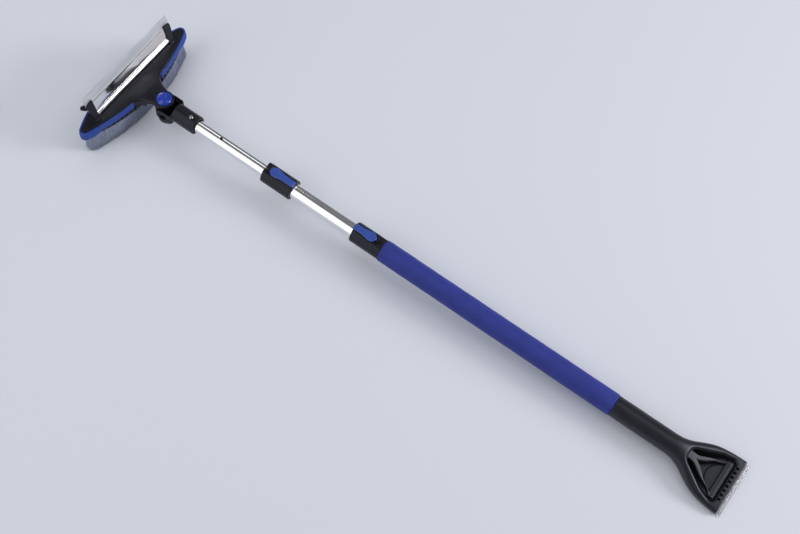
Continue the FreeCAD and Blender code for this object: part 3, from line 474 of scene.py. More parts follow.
def strip_mesh(rows, around=False):
    """Points and faces of equal closed rings of points, each joined to the next.

    Both ends are closed, or with around the last ring is joined to the first.
    """
    count, size = len(rows), len(rows[0])
    faces = []
    for i in range(count if around else count - 1):
        k = (i + 1) % count
        for j in range(size):
            m = (j + 1) % size
            faces.append((i * size + j, i * size + m, k * size + m, k * size + j))
    if not around:
        faces.append(tuple(range(size - 1, -1, -1)))
        faces.append(tuple(range((count - 1) * size, count * size)))
    return [p for row in rows for p in row], faces


def circle(count):
    """Cosine and sine of equal steps round a circle."""
    angles = [2 * math.pi * i / count for i in range(count)]
    return [(math.cos(a), math.sin(a)) for a in angles]


# Distances in the tool frame: negative inside, in millimetres.
def join(a, b, fillet=0.0):
    """Either shape, with a fillet where they meet."""
    if fillet <= 0:
        return np.minimum(a, b)
    h = np.clip(0.5 + 0.5 * (b - a) / fillet, 0, 1)
    return b + (a - b) * h - fillet * h * (1 - h)


def keep(a, b, fillet=0.0):
    """What is in both shapes, with the new edge rounded."""
    return -join(-a, -b, fillet)


def cut(a, b, fillet=0.0):
    """The first shape without the second, with the new edge rounded."""
    return -join(-a, b, fillet)


def corner2(a, b, radius):
    """Both distances kept, with the corner between them rounded by radius."""
    qa, qb = a + radius, b + radius
    return np.hypot(np.maximum(qa, 0), np.maximum(qb, 0)) + np.minimum(np.maximum(qa, qb), 0) - radius


def box2(x, y, half_x, half_y, corner):
    """Plan distance to a rectangle about the origin with round corners."""
    return corner2(np.abs(x) - half_x, np.abs(y) - half_y, corner)


def span2(x, y, x0, x1, half_y, corner):
    """Plan distance to a rectangle from x0 to x1, even about y = 0, with round corners."""
    return box2(x - (x0 + x1) / 2, y, (x1 - x0) / 2, half_y, corner)


def thick(plan, z, z0, z1, edge):
    """A plan distance given height from z0 to z1, with its edges rounded."""
    return corner2(plan, np.abs(z - (z0 + z1) / 2) - (z1 - z0) / 2, edge)


def slab(x, y, z, x0, x1, y0, y1, z0, z1, corner, edge):
    """Upright box with round corners and edges."""
    plan = box2(x - (x0 + x1) / 2, y - (y0 + y1) / 2, (x1 - x0) / 2, (y1 - y0) / 2, corner)
    return thick(plan, z, z0, z1, edge)


def bar_x(x, y, z, radius, x0, x1, edge=0.3):
    """Round bar on the tubes' axis."""
    return thick(np.hypot(y, z) - radius, x, x0, x1, edge)


def bar_z(x, y, z, radius, cx, cy, z0, z1, edge=0.3):
    """Upright round bar."""
    return thick(np.hypot(x - cx, y - cy) - radius, z, z0, z1, edge)


def to_segment(x, y, start, end):
    """Plan distance to a line between two points, and how far along it the nearest point is, 0 to 1."""
    dx, dy = end[0] - start[0], end[1] - start[1]
    t = np.clip(((x - start[0]) * dx + (y - start[1]) * dy) / (dx * dx + dy * dy), 0, 1)
    return np.hypot(x - start[0] - t * dx, y - start[1] - t * dy), t


def strokes(x, y, route):
    """Plan distance to a line of (x, y, half width) points."""
    best = np.full(np.shape(x), 1e9)
    for start, end in zip(route, route[1:]):
        reach, t = to_segment(x, y, start, end)
        best = np.minimum(best, reach - (start[2] + t * (end[2] - start[2])))
    return best


def polygon2(x, y, corners, rounding):
    """Plan distance to a polygon whose corners are rounded outwards by rounding."""
    best = np.full(np.shape(x), 1e9)
    sign = np.ones(np.shape(x))
    for start, end in zip(corners, corners[1:] + corners[:1]):
        best = np.minimum(best, to_segment(x, y, start, end)[0])
        (ax, ay), (bx, by) = start, end
        if ay != by:
            crosses = ((ay > y) != (by > y)) & (x < ax + (y - ay) * (bx - ax) / (by - ay))
            sign = np.where(crosses, -sign, sign)
    return sign * best - rounding


def lens_arc(half_depth, half_length, tip_r):
    """Where a lens's round tip is centred along y, and the radius of the long arcs that meet it."""
    tip_y = half_length - tip_r
    return tip_y, (half_depth ** 2 - tip_r ** 2 + tip_y ** 2) / (2 * (half_depth - tip_r))


def lens2(x, y, half_depth, half_length, tip_r):
    """Plan distance to the head's lens: two long arcs that meet round tips."""
    tip_y, big_r = lens_arc(half_depth, half_length, tip_r)
    offset = big_r - half_depth
    ax, ay = np.abs(x - HEAD_X), np.abs(y)
    on_tip = ay * offset > tip_y * (ax + offset)
    return np.where(on_tip, np.hypot(ax, ay - tip_y) - tip_r, np.hypot(ax + offset, ay) - big_r)


def ease(x, x0, x1):
    """0 before x0, 1 after x1 and a smooth step between."""
    t = np.clip((x - x0) / (x1 - x0), 0, 1)
    return t * t * (3 - 2 * t)


# ---------------------------------------------------------------- scraper
FLARE = np.array([  # past the barrel, half width, bottom, top, squareness
    (-BARREL_LENGTH, BARREL_R, -BARREL_R, BARREL_R, 2.0),
    (-6.0, BARREL_R, -BARREL_R, BARREL_R, 2.0),
    (4.0, 18.1, -18.0, 17.8, 2.0),
    (14.0, 19.6, -18.4, 16.4, 2.1),
    (24.0, 23.3, -18.8, 14.2, 2.3),
    (34.0, 28.6, -19.2, 11.4, 2.6),
    (46.0, 35.8, -19.6, 7.6, 3.0),
    (60.0, 42.6, -19.8, 3.4, 3.5),
    (74.0, 46.4, SCRAPER_BOTTOM, -0.6, 4.2),
    (88.0, 48.6, SCRAPER_BOTTOM, -4.2, 5.2),
    (101.0, 49.8, SCRAPER_BOTTOM, -6.8, 6.2),
    (FLARE_LENGTH + 1, SCRAPER_HALF_WIDTH, SCRAPER_BOTTOM, -9.0, 7.0),
])
POCKET_FLOOR = SCRAPER_BOTTOM + BLADE_THICK + 2.5
POCKET_REAR = BARREL_END + 44
POCKET_FRONT = SCRAPER_FRONT - 14
POCKET_SLOPE, POCKET_CORNER_R = 0.34, 5.0
PAD_R, PAD_RISE = 24.0, 1.1
RIB_BAR_BACK, RIB_BAR_FRONT, RIB_BAR_RISE = SCRAPER_FRONT - 26, SCRAPER_FRONT - 15.5, 4.8
RIB_BELOW_CROWN = 3.2
SEAT_HALF_WIDTH = 45.0
SEAT_TOP = SCRAPER_BOTTOM + BLADE_THICK + 0.1
SEATS = [  # back, front and half width of the blade's seats: within the handle, and through its lip
    (SCRAPER_FRONT - BLADE_IN - 0.2, SCRAPER_FRONT, SEAT_HALF_WIDTH + 0.2),
    (SCRAPER_FRONT - 2.2, SCRAPER_FRONT + 5, 60),
]
TOOTH_PITCH, TOOTH_HALF, TOOTH_BACK, TOOTH_FRONT = 8.6, 1.9, SCRAPER_FRONT - 10.6, SCRAPER_FRONT - 5.4
RIB_ARM = [  # past the pocket's rear, off the middle, half width
    (-17.0, 2.6, 4.2), (-7.0, 2.9, 4.2), (2.0, 4.3, 4.1), (11.0, 9.5, 3.9), (19.0, 15.2, 3.0),
    (25.0, 19.0, 1.9), (32.0, 22.0, 1.3), (39.0, 25.6, 1.1), (46.0, 31.5, 1.1),
]


def flare_section(x):
    """Half width, bottom, top and squareness of the scraper handle at each x, eased between stations."""
    stations, *measures = FLARE.T
    s = np.clip(x - BARREL_END, stations[0], stations[-1])
    shifts = (-5.0, -2.5, 0.0, 2.5, 5.0)
    return [sum(np.interp(s + d, stations, measure) for d in shifts) / len(shifts) for measure in measures]


def flare_body(x, y, z):
    """The barrel and the flare, without ends: each section is a circle drawn out and squared."""
    half_width, bottom, top, power = flare_section(x)
    half_height = (top - bottom) / 2
    u = np.abs(y) / half_width + 1e-9
    v = np.abs(z - (top + bottom) / 2) / half_height + 1e-9
    gauge = (u ** power + v ** power) ** (1 / power)
    slope_y = (u / gauge) ** (power - 1) / half_width
    slope_z = (v / gauge) ** (power - 1) / half_height
    return (gauge - 1) / np.hypot(slope_y, slope_z)


def smooth_route(corners, parts=6):
    """More points through the corners, on Catmull-Rom curves."""
    c = [np.array(p, float) for p in corners]
    c = [2 * c[0] - c[1]] + c + [2 * c[-1] - c[-2]]
    result = []
    for a, b, d, e in zip(c, c[1:], c[2:], c[3:]):
        for t in np.arange(parts) / parts:
            result.append(0.5 * (2 * b + (d - a) * t + (2 * a - 5 * b + 4 * d - e) * t ** 2
                                 + (3 * b - a - 3 * d + e) * t ** 3))
    return [tuple(p) for p in result] + [tuple(c[-2])]


def rib_arm(side):
    """Half of the Y rib: it leaves the throat, swings out and runs on, thin, to the bar's end."""
    return [(POCKET_REAR + s, side * y, r) for s, y, r in smooth_route(RIB_ARM)]


RIB_ARMS = (rib_arm(1), rib_arm(-1))


def scraper_handle(x, y, z):
    """Barrel and flare, with a triangular pocket that holds a Y rib, and with seats for the blade."""
    body = keep(flare_body(x, y, z), np.maximum(GRIP_LENGTH - x, x - SCRAPER_FRONT), 1.6)
    edge = [(POCKET_REAR, 4), (POCKET_FRONT - 20, 28), (POCKET_FRONT - 5, 33)]
    corners = [(px, -py) for px, py in edge] + edge[::-1]
    outline = polygon2(x, y, corners, POCKET_CORNER_R)
    pocket = keep(outline - POCKET_SLOPE * (z - POCKET_FLOOR), POCKET_FLOOR - z, 3.0)
    body = cut(body, pocket, 4.0)
    floor, rooted = POCKET_FLOOR, POCKET_FLOOR - 2
    pad = bar_z(x, y, z, PAD_R, RIB_BAR_BACK + 4, 0, rooted, floor + PAD_RISE, 0.5)
    body = join(body, keep(pad, outline + 1.5, 0.8), 0.8)
    arms = np.minimum(strokes(x, y, RIB_ARMS[0]), strokes(x, y, RIB_ARMS[1]))
    crest = flare_section(x)[2] - RIB_BELOW_CROWN - 1.5 * ease(x, POCKET_REAR + 22, POCKET_REAR + 46)
    rib = keep(keep(arms, z - crest, 1.6), rooted - z)
    body = join(body, keep(rib, outline - 10, 0.5), 1.4)
    bar = slab(x, y, z, RIB_BAR_BACK, RIB_BAR_FRONT, -34, 34, rooted, floor + RIB_BAR_RISE, 0.9, 0.7)
    step = slab(x, y, z, RIB_BAR_FRONT - 2.6, RIB_BAR_FRONT + 3, -40, 40, floor + 3.9, floor + 9, 0.4, 0.3)
    body = join(body, cut(bar, step, 0.3), 0.8)
    tooth_y = (y / TOOTH_PITCH - 0.5 - np.round(np.clip(y / TOOTH_PITCH - 0.5, -4, 3))) * TOOTH_PITCH
    teeth = slab(x, tooth_y, z, TOOTH_BACK, TOOTH_FRONT, -TOOTH_HALF, TOOTH_HALF, -13.4, 2, 0.8, 0.4)
    body = cut(body, teeth, 0.6)
    seats = [slab(x, y, z, back, front, -half, half, SCRAPER_BOTTOM - 5, SEAT_TOP, 0.2, 0.2)
             for back, front, half in SEATS]
    body = cut(body, np.minimum(*seats), 0.3)
    body = cut(body, bar_x(x, y, z, OUTER_R, GRIP_LENGTH - 5, OUTER_TUBE_END), 0.3)
    return cut(body, bar_z(x, y, z, 1.9, HANDLE_SCREW_X, 0, -30, -10, 0.1))


moulded("scraper_handle_shell", scraper_handle, (GRIP_LENGTH, -SCRAPER_HALF_WIDTH, SCRAPER_BOTTOM),
        (SCRAPER_FRONT, SCRAPER_HALF_WIDTH, BARREL_R), 0.78, BLACK_GRIP, "handle",
        ["scraper_handle"])


def make_blade():
    """Clear plate: bevelled to its edge, with a row of ice-breaking ridges on the bevel."""
    half = SCRAPER_HALF_WIDTH - 0.5
    steps, steps_per_ridge, end_inset = 404, 8, 0.25
    rows = []
    for i in range(steps + 1):
        y = -half + 2 * half * i / steps
        inset = end_inset * max(0, 1 - min(i, steps - i) / 1.5)
        ridge = (i // steps_per_ridge) % 2
        z0, z1 = SCRAPER_BOTTOM + inset, SCRAPER_BOTTOM + BLADE_THICK - inset
        rear = SCRAPER_FRONT - (BLADE_IN if abs(y) < SEAT_HALF_WIDTH else 2.0) + inset
        edge = BLADE_EDGE - inset - 0.3 * (1 - ridge)
        section = [(rear, z0), (edge, z0), (edge, z0 + BLADE_LAND - inset),
                   (edge - 1.6, z0 + 1.35 + 0.35 * ridge), (edge - 3.4, z0 + 2.15 + 0.45 * ridge),
                   (edge - 5.2, z1 - 0.1), (edge - 6.0, z1), (rear, z1)]
        rows.append([(x, y, z) for x, z in section])
    points, faces = strip_mesh(rows)
    piece("scraper_blade_plate", points, faces, CLEAR_BLADE, "handle", ["scraper_blade"], 30)


make_blade()


# ---------------------------------------------------------------- lathe work
def turned(profile, count, wobble=None):
    """A closed profile of (along, radius) points turned round the tubes' axis. wobble adds radius."""
    rows = []
    for i, (c, s) in enumerate(circle(count)):
        row = []
        for along, radius in profile:
            r = radius + (wobble(along, 2 * math.pi * i / count, radius) if wobble else 0)
            row.append((along, r * c, r * s))
        rows.append(row)
    return strip_mesh(rows, around=True)


def rounded_profile(corners, radius, steps=4):
    """A closed outline with its convex and concave corners rounded by up to radius."""
    result = []
    count = len(corners)
    for i in range(count):
        before, here, after = (Vector(corners[(i + k) % count]) for k in (-1, 0, 1))
        r = min(radius, (before - here).length * 0.45, (after - here).length * 0.45)
        a = here + (before - here).normalized() * r
        b = here + (after - here).normalized() * r
        for k in range(steps + 1):
            t = k / steps
            result.append(tuple(a * (1 - t) ** 2 + here * 2 * t * (1 - t) + b * t ** 2))
    return result


def divided(profile, longest):
    """An outline with its long stretches divided."""
    result = []
    for a, b in zip(profile, profile[1:] + profile[:1]):
        parts = max(1, math.ceil(math.dist(a, b) / longest))
        result.extend(tuple(a[k] + (b[k] - a[k]) * i / parts for k in (0, 1)) for i in range(parts))
    return result


def make_foam():
    """Foam sleeve: round-edged ends, and a surface that is a little uneven as real foam is."""
    outline = [(0, OUTER_R), (0, GRIP_R), (GRIP_LENGTH, GRIP_R), (GRIP_LENGTH, OUTER_R)]
    profile = divided(rounded_profile(outline, GRIP_END_ROUNDING, 8), 2.0)

    def uneven(along, angle, radius):
        """Long shallow waves on the outside, and a slight drawing-in towards the ends."""
        if radius < OUTER_R + 0.5:
            return 0.0
        near_end = min(along, GRIP_LENGTH - along)
        waves = (0.07 * math.sin(0.043 * along + 1.3 * math.sin(angle))
                 + 0.05 * math.sin(0.151 * along + 2 * angle))
        return waves - 0.10 * math.exp(-near_end / 9.0) - 0.04

    points, faces = turned(profile, 96, uneven)
    foam = piece("foam_grip_sleeve", points, faces, BLUE_FOAM, "handle", ["foam_grip"], 40)


make_foam()


def drill(item, cutters):
    """Cuts the cutter meshes, given as points and faces in the tool frame, out of a piece."""
    for points, faces in cutters:
        mesh = bpy.data.meshes.new("cutter")
        mesh.from_pydata(points, [], faces)
        mesh.transform(TOOL)
        tool = bpy.data.objects.new("cutter", mesh)
        bpy.context.scene.collection.objects.link(tool)
        modifier = item.modifiers.new("drill", "BOOLEAN")
        modifier.operation = "DIFFERENCE"
        modifier.object = tool
        modifier.solver = "EXACT"
        evaluated = item.evaluated_get(bpy.context.evaluated_depsgraph_get())
        result = bpy.data.meshes.new_from_object(evaluated)
        item.modifiers.clear()
        item.data = result
        bpy.data.objects.remove(tool)
    item.data.set_sharp_from_angle(angle=math.radians(28))


def upright_rings(x, outline, count):
    """A ring round the upright line at x for each (height, radius) of an outline."""
    return [[(x + radius * c, radius * s, height) for c, s in circle(count)] for height, radius in outline]


def hole_cutter(radius, x, surface, chamfer=0.35):
    """Round hole from above with a small chamfer where it meets the tube."""
    wide = radius + 2 * chamfer
    outline = [(3.0, radius), (surface - chamfer, radius), (surface + chamfer, wide), (surface + 3, wide)]
    return strip_mesh(upright_rings(x, outline, 40))


def make_tube(name, node, body, radius, x0, x1, holes):
    """Thin tube with softened ends and drilled lock holes along its top."""
    inner = radius - TUBE_WALL
    outline = [(x0, inner), (x0, radius), (x1, radius), (x1, inner)]
    profile = divided(rounded_profile(outline, 0.35, 3), 24.0)
    points, faces = turned(profile, 160)
    tube = piece(name, points, faces, TUBE_METAL, body, [node], 28)
    drill(tube, [hole_cutter(LOCK_PIN_R + 0.5, x, radius) for x in holes])


make_tube("outer_tube_bore", "outer_tube", "handle", OUTER_R, LOWER_COLLAR_HEAD_END + LIP_LENGTH,
          OUTER_TUBE_END, [])
make_tube("middle_tube_bright", "middle_tube", "middle", MIDDLE_R, UPPER_COLLAR_HEAD_END + LIP_LENGTH,
          MIDDLE_TUBE_END, [LOWER_LOCK_X, LOWER_LOCK_X - MIDDLE_TRAVEL, UPPER_LOCK_X])
make_tube("upper_tube_bright", "upper_tube", "upper", UPPER_R, UPPER_TUBE_START, UPPER_TUBE_END,
          [UPPER_LOCK_X, UPPER_LOCK_X - UPPER_TRAVEL])


# ---------------------------------------------------------------- collars and levers
class Clasp:
    """One collar and its lever, laid out along s from the lock pin towards the lever's wide pad."""

    def __init__(self, name, body, lock_x, toward_pad, pad_s, pivot_s, x0, x1, own_r, inner_r):
        self.name, self.body = name, body
        self.lock_x, self.toward_pad = lock_x, toward_pad
        self.pad_s, self.pivot_s = pad_s, pivot_s
        self.x0, self.x1 = x0, x1
        self.own_r, self.inner_r = own_r, inner_r

    def x(self, s):
        """Tool x at s."""
        return self.lock_x + self.toward_pad * s

    def s(self, x):
        """s at tool x."""
        return (x - self.lock_x) * self.toward_pad


CLASPS = [
    Clasp("lower", "handle", LOWER_LOCK_X, 1, 26.0, 14.0, LOWER_COLLAR_HEAD_END, 0.0, OUTER_R, MIDDLE_R),
    Clasp("upper", "middle", UPPER_LOCK_X, -1, 31.5, 17.0, UPPER_COLLAR_HEAD_END, UPPER_COLLAR_GRIP_END,
          MIDDLE_R, UPPER_R),
]
LEVER_START, LEVER_CLEARANCE = -8.0, 0.5
LEVER_BARREL_R, LEVER_BORE_PLAY = 1.9, 0.05
SCOOP_RISE = 7.5


def lever_plan(clasp, x, y, grow):
    """Lever's outline from above: a square narrow end, a long taper and a round pad."""
    s = clasp.s(x)
    widening = ease(s, clasp.pivot_s - 8, clasp.pad_s - 2)
    half = LEVER_NARROW_HALF + (LEVER_WIDE_R - LEVER_NARROW_HALF) * widening
    shaft = keep(np.abs(y) - half - grow, np.maximum(LEVER_START - grow - s, s - clasp.pad_s), 1.2)
    pad = np.hypot(s - clasp.pad_s, y) - LEVER_WIDE_R - grow
    return join(shaft, pad, 1.5)


def lever_shape(clasp):
    """Rocking lever: a dished plate on a foot, bored for its pin."""
    def distance(x, y, z):
        s = clasp.s(x)
        crown = LEVER_TOP - 0.011 * y ** 2 - 0.45 * (1 - ease(s, LEVER_START, clasp.pivot_s))
        dish = 0.45 * np.exp(-((s - clasp.pad_s) ** 2 + y ** 2) / 34.0)
        top = z - (crown - dish)
        plate = keep(keep(lever_plan(clasp, x, y, 0), top, 1.6), LEVER_UNDER - z, 0.6)
        foot = slab(s, y, z, LEVER_START, clasp.pivot_s + 2.2, -LEVER_NARROW_HALF, LEVER_NARROW_HALF,
                    LEVER_PIVOT_Z - 1.0, LEVER_TOP - 1.5, 1.0, 0.4)
        from_pin = np.hypot(s - clasp.pivot_s, z - LEVER_PIVOT_Z)
        barrel = thick(from_pin - LEVER_BARREL_R, y, -LEVER_NARROW_HALF, LEVER_NARROW_HALF, 0.3)
        lever = join(join(plate, foot, 0.4), barrel, 0.4)
        return cut(lever, from_pin - LEVER_PIN_R - LEVER_BORE_PLAY)
    return distance


def collar_shape(clasp):
    """Collar: a sleeve with a hump that the lever lies in, and a finger scoop past the lever's pad."""
    def distance(x, y, z):
        s = clasp.s(x)
        past_ends = np.maximum(clasp.x0 - x, x - clasp.x1)
        sleeve = bar_x(x, y, z, COLLAR_R, clasp.x0, clasp.x1, 1.0)
        flank = HUMP_TOP - 0.004 * y ** 2
        waist = HUMP_HALF_WIDTH - 1.3 * (1 - ease(s, clasp.pivot_s - 10, clasp.pad_s))
        hump = keep(np.abs(y) - waist, z - flank, 3.0)
        hump = keep(hump, past_ends, 1.2)
        body = join(sleeve, np.maximum(hump, 6 - z), 2.5)
        body = keep(body, past_ends, 0.5)
        scoop_s, scoop_z = clasp.pad_s + LEVER_WIDE_R + 1.0, HUMP_TOP + SCOOP_RISE
        scoop_r = scoop_z - clasp.own_r - 0.9
        body = cut(body, np.sqrt((s - scoop_s) ** 2 + y ** 2 + (z - scoop_z) ** 2) - scoop_r, 1.2)
        pocket = keep(lever_plan(clasp, x, y, LEVER_CLEARANCE), OUTER_R + 0.1 - z, 0.6)
        body = cut(body, pocket, 0.7)
        body = cut(body, np.hypot(s, y) - LOCK_PIN_R - 1.2 + np.maximum(0, -z) * 4)
        pin = np.hypot(s - clasp.pivot_s, z - LEVER_PIVOT_Z) - LEVER_PIN_R
        body = cut(body, np.maximum(pin, np.abs(y) - LEVER_PIN_HALF_LENGTH - 0.05))
        radius = np.hypot(y, z)
        body = cut(body, radius - clasp.inner_r - SLIDE_GAP, 0.3)
        return cut(body, np.maximum(radius - clasp.own_r, clasp.x0 + LIP_LENGTH - x))
    return distance


LEAF_REACH, LEAF_THICK, LEAF_HALF_WIDTH = 5.5, 0.5, 2.5
LEAF_SEAT = OUTER_R + 0.1


def tool_point(x, y, z):
    """A tool frame point in the row frame."""
    return tuple(TOOL @ Vector((x, y, z)))


def tool_direction(x, y, z):
    """A tool frame direction in the row frame."""
    return tuple((TOOL.to_3x3() @ Vector((x, y, z))).normalized())


def make_lever_pin(clasp):
    """Steel pin with rounded ends that the lever rocks on."""
    half = LEVER_PIN_HALF_LENGTH
    end = [(half - 0.4, LEVER_PIN_R), (half - 0.1, 0.75), (half, 0.35)]
    outline = [(-along, radius) for along, radius in end[::-1]] + end
    x = clasp.x(clasp.pivot_s)
    rows = [[(x + radius * c, along, LEVER_PIVOT_Z + radius * s) for c, s in circle(24)]
            for along, radius in outline]
    points, faces = strip_mesh(rows)
    node = clasp.name + "_lever_pin"
    weld(piece(node + "_turned", points, faces, DARK_STEEL, clasp.body, [node], 40))


def make_leaf(clasp):
    """Bowed spring leaf under the lever's pad."""
    rise = LEVER_UNDER - LEAF_SEAT
    radius = (LEAF_REACH ** 2 + rise ** 2) / (2 * rise)
    span = math.asin(min(1, LEAF_REACH / radius))
    middle = clasp.x(clasp.pad_s - 1)
    w, soft, steps = LEAF_HALF_WIDTH, 0.15, 32
    section = [(0, -w + soft), (0, w - soft), (soft, w), (LEAF_THICK - soft, w), (LEAF_THICK, w - soft),
               (LEAF_THICK, -w + soft), (LEAF_THICK - soft, -w), (soft, -w)]
    rows = []
    for i in range(steps + 1):
        angle = -span + 2 * span * i / steps
        row = []
        for depth, y in section:
            r = radius - depth
            z = LEAF_SEAT + rise - radius + r * math.cos(angle)
            row.append((middle + r * math.sin(angle), y, max(z, LEAF_SEAT)))
        rows.append(row)
    points, faces = strip_mesh(rows)
    node = clasp.name + "_lever_spring"
    leaf = piece(node + "_leaf", points, faces, STEEL, clasp.body, [node], 30)
    weld(leaf)
    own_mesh(leaf)


for clasp in CLASPS:
    lever = clasp.name + "_lever"
    x0, x1 = sorted((clasp.x(LEVER_START), clasp.x(clasp.pad_s + LEVER_WIDE_R)))
    moulded(lever + "_rocker", lever_shape(clasp), (x0, -LEVER_WIDE_R, LEVER_PIVOT_Z - 2),
            (x1, LEVER_WIDE_R, LEVER_TOP), 0.34, BLUE_LEVER, lever, [lever])
    make_lever_pin(clasp)
    make_leaf(clasp)
    collar = clasp.name + "_collar"
    moulded(collar + "_sleeve", collar_shape(clasp), (clasp.x0, -COLLAR_R, -COLLAR_R),
            (clasp.x1, COLLAR_R, HUMP_TOP), 0.5, BLACK, clasp.body, [collar])


# ---------------------------------------------------------------- pivot joint
def hexagon2(x, y, across_flats):
    """Plan distance to a hexagon about the origin."""
    ax, ay = np.abs(x), np.abs(y)
    return np.maximum(ay, ax * math.cos(math.pi / 6) + ay * 0.5) - across_flats / 2


CUP_FRONT = PIVOT_X - 5
LOBE_R, LOBE_X, LOBE_Y, LOBE_TOP = 13.0, PIVOT_X + 12, 12, -3.5
NUT_BOSS_R = 9.0


def yoke_shape(x, y, z):
    """Ferrule round the upper tube, and an open cup with slotted sides that the head's boss turns in."""
    ferrule = bar_x(x, y, z, FERRULE_R, CUP_END - 3, FERRULE_END, 1.3)
    outside = span2(x, y, CUP_FRONT - 20, CUP_END, CUP_HALF_WIDTH, 6.5)
    rim = CUP_TOP - 6.0 * (1 - ease(x, CUP_FRONT - 6, CUP_FRONT + 16))
    cup = thick(keep(outside, CUP_FRONT - x, 4.0), z, CUP_FLOOR_BOTTOM, CUP_TOP, 1.3)
    yoke = join(ferrule, keep(cup, z - rim, 1.6), 3.0)
    for side in (-1, 1):
        lobe = bar_z(x, y, z, LOBE_R, LOBE_X, side * LOBE_Y, CUP_FLOOR_BOTTOM - 1, LOBE_TOP, 2.4)
        yoke = join(yoke, lobe, 4.5)
    yoke = join(yoke, bar_z(x, y, z, NUT_BOSS_R, PIVOT_X, 0, NUT_BOTTOM, CUP_FLOOR_TOP - 0.5, 1.0), 1.5)
    inside = span2(x, y, CUP_FRONT - 40, CUP_END - CUP_WALL, CUP_HALF_WIDTH - CUP_WALL, 4.5)
    slots = slab(x, np.abs(y), z, PIVOT_X + 8, PIVOT_X + 18, 15, 30, -5.2, -0.8, 1.5, 0.6)
    radius = np.hypot(y, z)
    for hole, fillet in (
            (keep(inside, CUP_FLOOR_TOP - z, 0.8), 0.8),
            (slots, 0.6),
            (np.maximum(radius - UPPER_R, UPPER_TUBE_START - x), 0),
            (np.maximum(radius - UPPER_R - 1.8, FERRULE_END - 3 - x), 0.4),
            (bar_z(x, y, z, FERRULE_SCREW_R, FERRULE_SCREW_X, 0, 5, 30, 0.1), 0),
            (bar_z(x, y, z, 3.9, FERRULE_SCREW_X, 0, FERRULE_SCREW_SEAT, 30, 0.2), 0.4),
            (np.hypot(x - PIVOT_X, y) - PIVOT_BOLT_R, 0),
            (np.maximum(hexagon2(x - PIVOT_X, y, NUT_ACROSS), z - NUT_BOTTOM - NUT_HEIGHT), 0.2)):
        yoke = cut(yoke, hole, fillet)
    return yoke


moulded("yoke_casting", yoke_shape, (PIVOT_X - 6, -25, NUT_BOTTOM), (FERRULE_END, 25, 17.2), 0.55, BLACK,
        "upper", ["yoke"])


def make_button():
    """Domed push button with a soft shoulder."""
    top = BUTTON_SIDE_TOP + BUTTON_DOME
    dome_r = (BUTTON_R ** 2 + BUTTON_DOME ** 2) / (2 * BUTTON_DOME)
    outline = [(BUTTON_CEILING, 0.0), (BUTTON_CEILING, BUTTON_BORE), (BUTTON_FOOT, BUTTON_BORE),
               (BUTTON_FOOT, BUTTON_R)]
    steps = 24
    for i in range(steps + 1):
        radius = BUTTON_R * (1 - i / steps) ** 0.8
        height = top - dome_r + math.sqrt(dome_r ** 2 - radius ** 2)
        shoulder = 1.1 * math.exp(-(BUTTON_R - radius) / 0.7)
        outline.append((height - shoulder, radius))
    points, faces = strip_mesh(upright_rings(PIVOT_X, outline, 96))
    weld(piece("button_dome", points, faces, BLUE_BUTTON, "button", ["button_cap"], 40))


make_button()


def screw_shape(x, y, z):
    """Round-headed cross-recess screw over its shank."""
    seat = FERRULE_SCREW_SEAT
    dx = x - FERRULE_SCREW_X
    radius = np.hypot(dx, y)
    ball = np.sqrt(radius ** 2 + (z - seat + 2.4) ** 2) - 5.0
    head = keep(keep(radius - 3.8, seat - z, 0.3), ball, 0.5)
    wing_half, wing_reach = 0.55 + 0.3 * np.clip((z - seat - 0.8) * 0.35, 0, 1), 2.2
    cross = np.minimum(np.maximum(np.abs(dx) - wing_reach, np.abs(y) - wing_half),
                       np.maximum(np.abs(y) - wing_reach, np.abs(dx) - wing_half))
    head = cut(head, np.maximum(cross, seat + 0.7 - z), 0.2)
    shank = bar_z(x, y, z, FERRULE_SCREW_R, FERRULE_SCREW_X, 0, UPPER_R - TUBE_WALL - 1, seat + 0.5, 0.3)
    return join(head, shank, 0.2)


moulded("ferrule_screw_cross", screw_shape, (FERRULE_SCREW_X - 4, -4, UPPER_R - 3),
        (FERRULE_SCREW_X + 4, 4, 18), 0.12, STEEL, "upper", ["ferrule_screw"])


# ---------------------------------------------------------------- head
SQUEEGEE_X = PIVOT_X + SQUEEGEE_FOOT_X
LEAN_COS, LEAN_SIN = math.cos(SQUEEGEE_LEAN), math.sin(SQUEEGEE_LEAN)
HEAD_FILLET = 26.0
BOLT_HOLE_R = PIVOT_SLEEVE_R + 0.05


def leaned(x, z):
    """Upright squeegee coordinates (v towards the handle, u up from the rail) of a tool point."""
    dx, dz = x - SQUEEGEE_X, z - SQUEEGEE_FOOT_Z
    return dx * LEAN_COS + dz * LEAN_SIN, -dx * LEAN_SIN + dz * LEAN_COS


